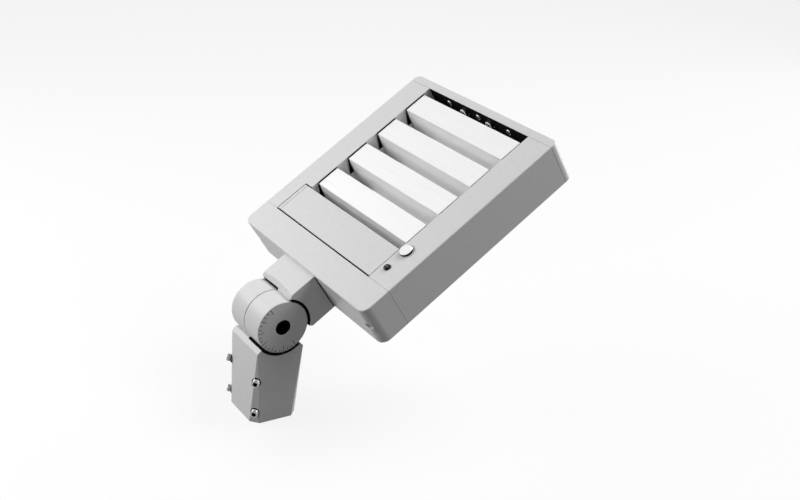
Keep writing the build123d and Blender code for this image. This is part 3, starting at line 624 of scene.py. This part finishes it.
# %% One pan head screw
def make_pan_screw(shank_r, head_r, head_h, length):
    """A screw whose seat is at the origin, its head along -Z and its shank along +Z."""
    screw = make_rod(head_r, head_h, 28, location=(0, 0, -head_h / 2))
    pick(screw, "FACE", lambda mid, n: n.z > 0.9)
    bpy.ops.mesh.inset(thickness=head_r - shank_r)
    bpy.ops.mesh.extrude_region_move(TRANSFORM_OT_translate={"value": (0, 0, length)})
    leave()
    round_edges(screw, lambda mid, way: abs(mid.z + head_h) < 1e-6, head_h * 0.45, 4)
    round_edges(screw, lambda mid, way: abs(mid.z - length) < 1e-6, shank_r * 0.3, 1)
    for turned in (0, pi / 2):
        wedge = make_block(head_r * 1.25, head_r * 0.26, head_h * 0.95)
        resize(wedge, lambda co, n: co.z > 0, (0.45, 0.45, 1))
        settle(wedge, shift(0, 0, -head_h) @ Matrix.Rotation(turned, 4, "Z"))
        cut_with(screw, wedge)
    return screw


print("a screw has a head, a shank and two wedges less")

# %% [markdown]
# ## Screws on the underside
# Four screws hold each bar on the ledges of the rails, and two smaller ones hold its lens plate.
# They could be placed one by one, but their places repeat with the bars, so lists give them.

# %% Screws of the bars and of the lens plates
BAR_SCREW_SEAT = GROUND + 2.9 * MM
LEDGE_X = 102 * MM
BAR_SCREW_Y = 9 * MM
LENS_SCREW_X = 88.5 * MM
screws = spread(make_pan_screw(2.5 * MM, 4.3 * MM, 2.6 * MM, 11.1 * MM),
                [shift(x, middle + y, BAR_SCREW_SEAT)
                 for middle in BAR_MIDDLES for x in (-LEDGE_X, LEDGE_X)
                 for y in (-BAR_SCREW_Y, BAR_SCREW_Y)])
settle(screws, HEAD)
hand_over(screws, "bar_pan_screws", zinc_plated_steel, "head", "bright_steel", "bar_screws")

screws = spread(make_pan_screw(1.5 * MM, 2.6 * MM, 1.4 * MM, 6.5 * MM),
                [shift(x, middle, LENS_BOTTOM)
                 for middle in BAR_MIDDLES for x in (-LENS_SCREW_X, LENS_SCREW_X)])
settle(screws, HEAD)
hand_over(screws, "lens_pan_screws", zinc_plated_steel, "head", "bright_steel", "lens_screws")

# %% [markdown]
# ## Set screws
# Four set screws clamp the sleeve on the pole. They stand well proud of the cut corners, so
# their ends are what the light catches: a bright rounded rim round a dark hexagon socket, and
# the first turns of the thread. A true thread is a helix, which needs many points. At this size
# a stack of rings, every other one drawn in, looks the same.

# %% One set screw
SOCKET = 3.3 * MM           # corner radius, a little large so that the socket shows
STAND_OUT = 7 * MM          # from the cut corner to the outer end


def make_set_screw(length):
    """A screw whose outer end is at the origin, facing +Z."""
    radius, pitch, lead_in = 5 * MM, 1.5 * MM, 0.2 * MM
    screw = make_rod(radius, length, 36, location=(0, 0, -length / 2))
    levels = [-ring * pitch / 2 - lead_in for ring in range(1, int(length / (pitch / 2)) - 1)]
    for level in levels:
        pick(screw, "VERT", everywhere)
        bpy.ops.mesh.bisect(plane_co=(0, 0, level), plane_no=(0, 0, 1))
        leave()
    for level in levels[1::2]:
        resize(screw, lambda co, n: abs(co.z - level) < 1e-5, (0.9, 0.9, 1), (0, 0, level))
    round_edges(screw, lambda mid, way: abs(mid.z) < 1e-6 or abs(mid.z + length) < 1e-6,
                0.6 * MM, 2)
    cut_with(screw, make_rod(SOCKET, 12 * MM, 6))
    return screw


print("the socket is", round(2 * SOCKET / MM, 1), "mm across its corners")

# %% [markdown]
# ## Socket shade, rim highlight and sealing rings
# A thin blackened cup lines the socket: painted shade for the inside of the socket. The rim is a
# flattened torus of white zinc flake, half sunk in the end of the screw: a painted highlight on
# the rounded end. A rubber ring, also a flattened torus, seals the screw where it enters the
# casting, and its black also paints the shade at the root of the screw. All three could be colours
# on one mesh, but as pieces of their own they also have the right shape.


# %% Cup and rings
def make_socket_shade_cup():
    """A black lining that paints the shade in a hexagon socket whose mouth is at the origin,
    facing +Z.
    """
    cup = make_rod(SOCKET - 0.04 * MM, 5.8 * MM, 6, location=(0, 0, -3.05 * MM))
    pick(cup, "FACE", lambda mid, n: n.z > 0.9)
    bpy.ops.mesh.inset(thickness=0.2 * MM)
    bpy.ops.mesh.extrude_region_move(TRANSFORM_OT_translate={"value": (0, 0, -5.4 * MM)})
    leave()
    return cup


def make_ring(major, minor, height, flatness):
    """A flattened torus round the Z axis at the height given."""
    bpy.ops.mesh.primitive_torus_add(major_segments=40, minor_segments=12, major_radius=major,
                                     minor_radius=minor)
    ring = bpy.context.object
    resize(ring, everywhere, (1, 1, flatness))
    settle(ring, shift(0, 0, height))
    return ring


print("cup, rim and ring follow the screw")

# %% [markdown]
# ## Placing the set screws
# The corners of the sleeve are cut by chamfers that grow from 0.8 mm at the top to 9.8 mm at the
# mouth. A screw stands nearly square on its chamfer. It could be turned by hand until it does,
# but it is surer to aim it along the line from the bore to the middle of the cut corner.

# %% Place the set screws
SLEEVE_X, SLEEVE_Y, SLEEVE_TOP = 72 * MM, 66 * MM, 103 * MM
TIP_RADIUS = 26.3 * MM      # inner ends of the screws, just short of the tenon


def sleeve_corner(height):
    """Size of the corner chamfer of the sleeve."""
    return 0.8 * MM + 9 * MM * (SLEEVE_TOP - height) / SLEEVE_TOP


set_screws, socket_shade_cups, screw_highlight_rims, screw_seal_shade_rings = [], [], [], []
for side in (-1, 1):
    for height in (16 * MM, 62 * MM):
        corner = sleeve_corner(height)
        outward = Vector((side * (SLEEVE_X - corner) / 2, -(SLEEVE_Y - corner) / 2, 0))
        end = outward.length + STAND_OUT
        aim = outward.to_track_quat("Z", "Y").to_matrix().to_4x4()
        at = Matrix.Translation(outward.normalized() * end + Vector((0, 0, height)))
        for piece, group in (
                (make_set_screw(end - TIP_RADIUS), set_screws),
                (make_socket_shade_cup(), socket_shade_cups),
                (make_ring(4.1 * MM, 0.85 * MM, -0.5 * MM, 0.6), screw_highlight_rims),
                (make_ring(5.2 * MM, 1.0 * MM, 0.4 * MM - STAND_OUT, 0.8), screw_seal_shade_rings)):
            settle(piece, at @ aim)
            group.append(piece)
hand_over(join(set_screws), "sleeve_set_screws", screw_steel, "fitter", "bright_steel",
          "fitter_set_screws")
# The black cups are painted shade in the sockets.
hand_over(join(socket_shade_cups), "set_screw_socket_shade_cups", blackened_steel, "fitter", "black_steel")
# The white rims are painted highlights on the ends of the screws.
hand_over(join(screw_highlight_rims), "set_screw_highlight_rims", white_highlight_zinc, "fitter", "bright_steel")
# The black of the seal rings also paints the shade at the roots of the screws.
hand_over(join(screw_seal_shade_rings), "set_screw_seals_and_shade", black_rubber, "fitter", "gasket_rubber")

# %% [markdown]
# ## Black linings of the knuckle
# The slots round the drum are black: each casting that wraps a drum half carries a rubber seal
# that nearly fills its slot, and so does the round groove beside the drum; their black also paints
# the shade in these slots. Lips of the seals lap over the edges of the castings. A profile could
# be spun round the axis, but a seal ends where its casting ends: it starts as an open tube of
# which only the faces near one direction are kept, and a Solidify modifier then gives it its
# thickness on the inside.

# %% Part of a tube
TUBE_SIDES = 144


def open_sheet(radius, x_low, x_high, towards=(1, 0), half_angle=181):
    """Part of a tube round the knuckle axis, kept near one direction given as (y, z)."""
    sheet = make_rod(radius, x_high - x_low, TUBE_SIDES, end_fill_type="NOTHING",
                     rotation=(0, pi / 2, 0), location=((x_low + x_high) / 2, 0, 0))
    middle = Vector(towards)
    pick(sheet, "FACE", lambda mid, n: mid.yz.angle(middle) > radians(half_angle))
    bpy.ops.mesh.delete(type="FACE")
    leave()
    return sheet


print("one face of the tube spans", 360 / TUBE_SIDES, "degrees")

# %% [markdown]
# ## Seals, and dark rings in the teeth
# Each row of the table is one piece: its radius and its reach along the axis, the direction and
# half angle that are kept, its thickness in millimetres, its place and its body. A thin black ring
# for each half lies in the teeth between the two drum halves: grease, and painted shade in the
# notches of the teeth.

# %% Seals, and grease that paints shade in the teeth
SEAT = 38.38 * MM           # just inside the outer wall of the slots
DOWN, AHEAD, LOWER_NEAR = (0, -1), (1, 0), (-0.6915, -0.7224)
# The black seals and lips also paint the shade in the slots and along their edges.
SEALS = [
    ("saddle_shade_seal", (SEAT, 0.3 * MM, 35.7 * MM, DOWN, 43.5), 2.2, PIVOT_PLACE, "fitter"),
    ("arm_seat_shade_seal", (SEAT, -37.2 * MM, -0.4 * MM, AHEAD, 41), 2.2, HEAD, "head"),
    ("drum_groove_shade_seal", (SEAT, 33.6 * MM, 37.1 * MM, AHEAD, 41), 2.5, HEAD, "head"),
    ("saddle_shade_seal_lip", (39.9 * MM, 35.6 * MM, 36.5 * MM, DOWN, 43.5), 3.7, PIVOT_PLACE,
     "fitter"),
    ("saddle_edge_shade_lip", (39.9 * MM, 0.3 * MM, 36.5 * MM, LOWER_NEAR, 1), 3.7, PIVOT_PLACE,
     "fitter"),
    ("drum_groove_shade_lip", (39.3 * MM, 37.0 * MM, 37.9 * MM, AHEAD, 41), 3.3, HEAD, "head"),
    ("near_tooth_shade_grease", (35.4 * MM, 0.2 * MM, 1.15 * MM), 0.9, HEAD, "head"),
    ("far_tooth_shade_grease", (35.4 * MM, -1.15 * MM, -0.2 * MM), 0.9, PIVOT_PLACE, "fitter"),
]
for name, shape, thickness, place, body in SEALS:
    seal = open_sheet(*shape)
    use_modifier(seal, "SOLIDIFY", thickness=thickness * MM, offset=-1)
    if not name.endswith("grease"):
        use_modifier(seal, "BEVEL", width=0.2 * MM, segments=2, limit_method="ANGLE")
    settle(seal, place)
    hand_over(seal, name, black_rubber, body, "gasket_rubber")

# %% [markdown]
# ## Bushing of the bolt well
# The well in which the head of the pivot bolt sits is dark inside, from shade. A black rubber
# bushing lines it and paints that shade; black paint would have no rim to catch the light. The
# bushing is an open tube with a wall from a Solidify modifier and rims that a Bevel modifier
# softens.

# %% Bushing
WELL_RADIUS, WELL_MIDDLE, WELL_LONG = 10.42 * MM, 23.5 * MM, 27.3 * MM
# Black lining: painted shade inside the well.
well_shade_bushing = make_rod(WELL_RADIUS, WELL_LONG, 64, end_fill_type="NOTHING",
                   rotation=(0, pi / 2, 0), location=(WELL_MIDDLE, 0, 0))
use_modifier(well_shade_bushing, "SOLIDIFY", thickness=0.5 * MM, offset=-1)
use_modifier(well_shade_bushing, "BEVEL", width=0.15 * MM, segments=2, limit_method="ANGLE")
settle(well_shade_bushing, HEAD)
hand_over(well_shade_bushing, "bolt_well_shade_bushing", black_rubber, "head", "gasket_rubber")

# %% [markdown]
# ## Angle marks
# The near face of the drum has a scale, engraved every 5 degrees in the CAD part. The long marks
# every 30 degrees and the short ones every 10 are filled with black enamel, which stands a trace
# over the edges of its groove. Enamel could be a dark patch in the paint's material, but as a
# bar with rounded corners, turned to each mark, it is sharp from any distance.

# %% Enamel in the angle marks
MARK_RIM = 34.7 * MM        # outer ends of the marks
MARK_X = 37.28 * MM         # middle of the enamel, just under the face of the drum
LONG_MARKS = range(90, 271, 30)
SHORT_MARKS = [angle for angle in range(90, 271, 10) if angle % 30]
marks = []
for length, angles in ((8.5 * MM, LONG_MARKS), (4 * MM, SHORT_MARKS)):
    mark = make_block(0.5 * MM, length, 0.82 * MM)
    round_edges(mark, lambda mid, way: abs(way.x) > 0.9, 0.15 * MM, 2)
    settle(mark, shift(MARK_X, MARK_RIM - length / 2, 0))
    marks.append(spread(mark, [Matrix.Rotation(radians(angle), 4, "X") for angle in angles]))
marks = join(marks)
settle(marks, HEAD)
hand_over(marks, "angle_mark_enamel", tick_enamel, "head", "dark_plastic")

# %% [markdown]
# ## Knurled band of the polished bolt
# The polished bolt is turned by hand, so its side has fine ridges. They are blackened: a painted
# reflection of the dark surroundings on that side of the bolt. The ridges could be a bump, but
# then the outline would stay smooth. An open tube is pulled in at every other column of points
# instead, and a Solidify modifier makes it a ring.

# %% Knurled band
BAND_RADIUS, RIDGES = 8.98 * MM, 60
BOLT_X, BOLT_Y = 120.7 * MM, 165.8 * MM
dark_reflection_band = make_rod(BAND_RADIUS, 2.9 * MM, 2 * RIDGES, end_fill_type="NOTHING")
resize(dark_reflection_band, lambda co, n: round(atan2(co.y, co.x) / pi * RIDGES) % 2 == 0, (0.982, 0.982, 1))
use_modifier(dark_reflection_band, "SOLIDIFY", thickness=0.2 * MM, offset=-1)
settle(dark_reflection_band, HEAD @ shift(BOLT_X, BOLT_Y, SKY + 1.75 * MM))
hand_over(dark_reflection_band, "knurled_dark_reflection_band", blackened_steel, "head", "black_steel")

# %% [markdown]
# ## Wire grommet
# A grommet lines the wire hole at the top of the bore, so that the casting doesn't chafe the
# wires. Its profile could be spun, but it takes less to extrude the lower rim of an open tube
# outwards into a flange. The normals are made to point outwards before Solidify gives the wall.

# %% Grommet
WIRE_HOLE_X, WIRE_HOLE_Z = -15.325 * MM, 84.2 * MM
grommet = make_rod(7.8 * MM, 6 * MM, 32, end_fill_type="NOTHING")
pick(grommet, "VERT", lambda co, n: co.z < 0)
bpy.ops.mesh.extrude_region_move()
bpy.ops.transform.resize(value=(1.35, 1.35, 1), center_override=(0, 0, -3 * MM))
leave()
pick(grommet, "FACE", everywhere)
bpy.ops.mesh.normals_make_consistent(inside=False)
leave()
use_modifier(grommet, "SOLIDIFY", thickness=1.1 * MM, offset=-1)
use_modifier(grommet, "BEVEL", width=0.35 * MM, segments=2, limit_method="ANGLE")
settle(grommet, shift(WIRE_HOLE_X, 0, WIRE_HOLE_Z))
hand_over(grommet, "wire_grommet", black_rubber, "fitter", "gasket_rubber")

# %% [markdown]
# ## Bead round the driver cover
# A rubber bead with a round top seals the gap along the near edge of the driver cover. Narrower
# ones close its ends and the short gap where it laps over the left rail. Their black also paints
# the shade in these gaps. A bead could be swept along a curve, but its four runs are straight and
# differ in width, so each is a box with its upper edges rounded.


# %% Bead
def make_bead(length, width):
    """A bar along X with its foot at the origin, 2 mm high, with a round top."""
    bead = make_block(length, width, 2 * MM)
    round_edges(bead, lambda mid, way: mid.z > 0 and abs(way.x) > 0.9, width * 0.3, 4)
    settle(bead, shift(0, 0, 1 * MM))
    return bead


COVER_LEFT, COVER_RIGHT = -124.2 * MM, 108.2 * MM
COVER_NEAR, COVER_FAR = BAY_NEAR + 2 * MM, BAY_NEAR + 51.9 * MM
BEAD_FOOT = SKY - 2.1 * MM
near_bead = make_bead(COVER_RIGHT - COVER_LEFT - 0.2 * MM, 1.9 * MM)
settle(near_bead, shift((COVER_LEFT + COVER_RIGHT) / 2, BAY_NEAR + 1 * MM, BEAD_FOOT))
side_beads = []
for x in (COVER_LEFT - 0.4 * MM, COVER_RIGHT + 0.4 * MM):
    side_bead = make_bead(COVER_FAR - COVER_NEAR, 0.76 * MM)
    settle(side_bead, shift(x, (COVER_NEAR + COVER_FAR) / 2, BEAD_FOOT)
           @ Matrix.Rotation(pi / 2, 4, "Z"))
    side_beads.append(side_bead)
lap_bead = make_bead(-HALF_WINDOW - COVER_LEFT - 0.3 * MM, 1.5 * MM)
settle(lap_bead, shift((-HALF_WINDOW + COVER_LEFT) / 2, COVER_FAR + 0.8 * MM, BEAD_FOOT))
bead = join([near_bead, lap_bead] + side_beads)
settle(bead, HEAD)
hand_over(bead, "cover_shade_bead", black_rubber, "head", "gasket_rubber")

# %% [markdown]
# ## Pads at the ends of the light bars
# The light bars are held between rubber pads. They are wider at the bottom, so that their black
# also paints the shade wedge that falls on the ends of the bars. Their outline could be drawn
# point by point, but a thin box whose lower points are spread and whose upper corners are rounded
# has the same one.

# %% Rubber pads
PAD_X = HALF_WINDOW - 1.05 * MM
PAD_TOP, PAD_LOW = SKY - 0.4 * MM, SKY - 24 * MM
shade_pad = make_block(1.9 * MM, 33.8 * MM, PAD_TOP - PAD_LOW)
resize(shade_pad, lambda co, n: co.z < 0, (1, 1.5, 1))
round_edges(shade_pad, lambda mid, way: mid.z > 0 and abs(way.y) > 0.9, 0.5 * MM, 3)
shade_pads = spread(shade_pad, [shift(x, middle, (PAD_TOP + PAD_LOW) / 2)
                    for middle in BAR_MIDDLES for x in (-PAD_X, PAD_X)])
settle(shade_pads, HEAD)
hand_over(shade_pads, "bar_end_shade_pads", black_rubber, "head", "gasket_rubber")

# %% [markdown]
# ## Foam strip in the last slot
# A thin black foam strip lies on the wall of the last slot, with round holes for the two bolts
# and three screws that sit there. It could be black paint, but paint would have no edge: the
# strip is a box of half a millimetre with rounded corners, and the holes are cut.

# %% Foam strip
FOAM = 0.5 * MM
FOAM_LOW, FOAM_HIGH = LEDGE + 0.2 * MM, SKY - 0.6 * MM
WALL_SCREWS_Z = SKY - 9.8 * MM
WALL_BOLTS_X, WALL_SCREWS_X = (-28 * MM, 28 * MM), (-65.5 * MM, 0, 65.5 * MM)
foam = make_block(2 * HALF_WINDOW - 0.4 * MM, FOAM, FOAM_HIGH - FOAM_LOW)
settle(foam, shift(0, FAR_WALL - FOAM / 2 - 0.02 * MM, (FOAM_LOW + FOAM_HIGH) / 2))
round_edges(foam, lambda mid, way: abs(way.y) > 0.9, 1.2 * MM, 3)
for places, radius in ((WALL_BOLTS_X, 7.7 * MM), (WALL_SCREWS_X, 4.4 * MM)):
    for x in places:
        cut_with(foam, make_rod(radius, 4 * MM, 28, location=(x, FAR_WALL, WALL_SCREWS_Z),
                                rotation=(pi / 2, 0, 0)))
settle(foam, HEAD)
hand_over(foam, "slot_foam_strip", black_rubber, "head", "gasket_rubber")

# %% [markdown]
# ## Crowns of the wall bolts
# The two black bolts in the last slot have a bright rounded crown round their socket: a white
# torus that paints the highlight of the sky all the way round. A bevel of the bolt would be as
# black as the bolt, so the crown is a torus that sits half in the head, with its outer half
# flattened.

# %% Crowns
CROWN_FACE = FAR_WALL - 5.7 * MM
bpy.ops.mesh.primitive_torus_add(major_segments=40, minor_segments=14, major_radius=4.65 * MM,
                                 minor_radius=1.15 * MM, rotation=(pi / 2, 0, 0))
highlight_crown = bpy.context.object
settle(highlight_crown)
resize(highlight_crown, lambda co, n: co.y < 0, (1, 0.8, 1))
highlight_crowns = spread(highlight_crown, [shift(x, CROWN_FACE, WALL_SCREWS_Z) for x in WALL_BOLTS_X])
settle(highlight_crowns, HEAD)
hand_over(highlight_crowns, "wall_bolt_highlight_crowns", white_highlight_zinc, "head", "bright_steel")

# %% [markdown]
# ## Camera
# The long edges of the head were followed in the photograph, and the directions in which they
# meet gave the focal length and how the camera is turned. The picture is 800 wide and 500 high
# and is not cropped off centre, so no lens shift is needed. The camera leans by about 7 degrees.
# It could be aimed by hand, but only a solved camera makes every edge fall on the photograph's.

# %% Camera
PICTURE_WIDTH = 800
FOCAL_PIXELS = 1141.04
camera_data = bpy.data.cameras.new("camera")
camera_data.sensor_width = 36.0
camera_data.lens = FOCAL_PIXELS / PICTURE_WIDTH * camera_data.sensor_width
camera_data.clip_start = 0.01
camera = bpy.data.objects.new("camera", camera_data)
bpy.context.scene.collection.objects.link(camera)
to_right = Vector((0.55594, 0.73414, -0.38983))
upward = Vector((-0.38523, 0.64313, 0.66180))
backward = Vector((0.73657, -0.21775, 0.64036))
eye = Vector((1140.5, -142.0, 927.9)) * MM
turned = Matrix((to_right, upward, backward)).transposed().to_4x4()
camera.matrix_world = HEAD @ Matrix.Translation(eye) @ turned
bpy.context.scene.camera = camera
print("lens", round(camera_data.lens, 2), "eye", [round(v, 3) for v in camera.location])

# %% [markdown]
# ## Floor
# The floor is mid grey for the light that bounces off it, so that the undersides stay quiet, and
# nearly white for the camera, for mirrors and for clear plastic. A white floor alone would light
# the object from below. Is Camera Ray, Is Glossy Ray and Is Transmission Ray tell the shader who
# is looking. The white is mostly a glow, and the rest is paper, which keeps the shadow.


# %% Floor
def seen_ray(tree):
    """1 for a ray of the camera, of a gloss or through clear plastic, else 0."""
    path = add_node(tree, "ShaderNodeLightPath")
    seen = add_node(tree, "ShaderNodeMath",
                    {0: path.outputs["Is Camera Ray"], 1: path.outputs["Is Glossy Ray"]},
                    operation="MAXIMUM")
    return add_node(tree, "ShaderNodeMath",
                    {0: seen.outputs[0], 1: path.outputs["Is Transmission Ray"]},
                    operation="MAXIMUM").outputs[0]


FLOOR_Z = -0.5 * MM         # clear of the mouth of the sleeve, whose face is at zero
floor_paper, tree, shader = start_material("pale_paper_floor", "#F0F0F0", 0.9)
tree.nodes.remove(shader)
bounce = add_node(tree, "ShaderNodeBsdfDiffuse", {"Color": (0.14, 0.14, 0.14, 1)})
paper = add_node(tree, "ShaderNodeBsdfDiffuse", {"Color": (0.13, 0.13, 0.13, 1)})
glow = add_node(tree, "ShaderNodeEmission", {"Color": (1, 1, 1, 1), "Strength": 0.85})
bright = add_node(tree, "ShaderNodeAddShader", {0: paper.outputs[0], 1: glow.outputs[0]})
choose = add_node(tree, "ShaderNodeMixShader",
                  {0: seen_ray(tree), 1: bounce.outputs[0], 2: bright.outputs[0]})
tree.links.new(choose.outputs[0], tree.nodes["Material Output"].inputs["Surface"])
bpy.ops.object.select_all(action="DESELECT")
bpy.ops.mesh.primitive_plane_add(size=40, location=(0, 0, FLOOR_Z))
floor = bpy.context.object
floor.name = "paper_floor"
floor.data.materials.append(floor_paper)
print("the floor is stage, not part of the object")

# %% [markdown]
# ## Sky
# The sky is treated the same way: dim for the light that falls on the object, white for the
# camera and for reflections. If it were white for all, the soft boxes would hardly show.

# %% Sky
world = bpy.data.worlds.new("studio")
world.use_nodes = True
bpy.context.scene.world = world
tree = world.node_tree
dim = add_node(tree, "ShaderNodeBackground", {"Color": (1, 1, 1, 1), "Strength": 0.1})
white = add_node(tree, "ShaderNodeBackground", {"Color": (1, 1, 1, 1), "Strength": 0.97})
sky = add_node(tree, "ShaderNodeMixShader",
               {0: seen_ray(tree), 1: dim.outputs[0], 2: white.outputs[0]})
tree.links.new(sky.outputs[0], tree.nodes["World Output"].inputs["Surface"])
print("made", world.name)

# %% [markdown]
# ## Light
# The photograph has bright tops, a paler left than right and a dark underside of the arm. A wide
# soft box high over the far end gives the tops, a weaker one stands behind, and two small ones
# near the camera's left give the near faces and the sleeve. A last one keeps the right side from
# going black. The watts of each could be found by trying, but they follow from the level wanted
# on a surface that faces it: level = watts / (pi squared x distance squared).

# %% Soft boxes
AIM_POINT = Vector((0, 0.1, 0.2))
SOFT_BOXES = [
    # name, direction, distance and side in metres, level
    ("high_soft_box", (0.08, 0.45, 0.82), 3.0, 1.5, 0.62),
    ("back_soft_box", (0, 1, 0.1), 3.0, 1.5, 0.30),
    ("right_soft_box", (0.6, 0.5, 0.6), 3.0, 1.5, 0.24),
    ("near_soft_box", (-0.3, -0.88, 0.37), 1.6, 0.8, 0.51),
    ("left_soft_box", (-0.7, -0.55, 0.45), 1.6, 0.8, 0.28),
]
for name, direction, distance, side, level in SOFT_BOXES:
    aim = Vector(direction).normalized()
    lamp = bpy.data.lights.new(name, "AREA")
    lamp.shape = "RECTANGLE"
    lamp.size = lamp.size_y = side
    lamp.energy = level * pi ** 2 * distance ** 2
    light = bpy.data.objects.new(name, lamp)
    bpy.context.scene.collection.objects.link(light)
    light.matrix_world = (Matrix.Translation(AIM_POINT + aim * distance)
                          @ aim.to_track_quat("Z", "Y").to_matrix().to_4x4())
    print(name, round(lamp.energy, 1), "W")
bpy.context.scene.view_settings.view_transform = "Standard"

# %% [markdown]
# ## Finish
# The floor is left selected.

# %% Finish
only(floor)
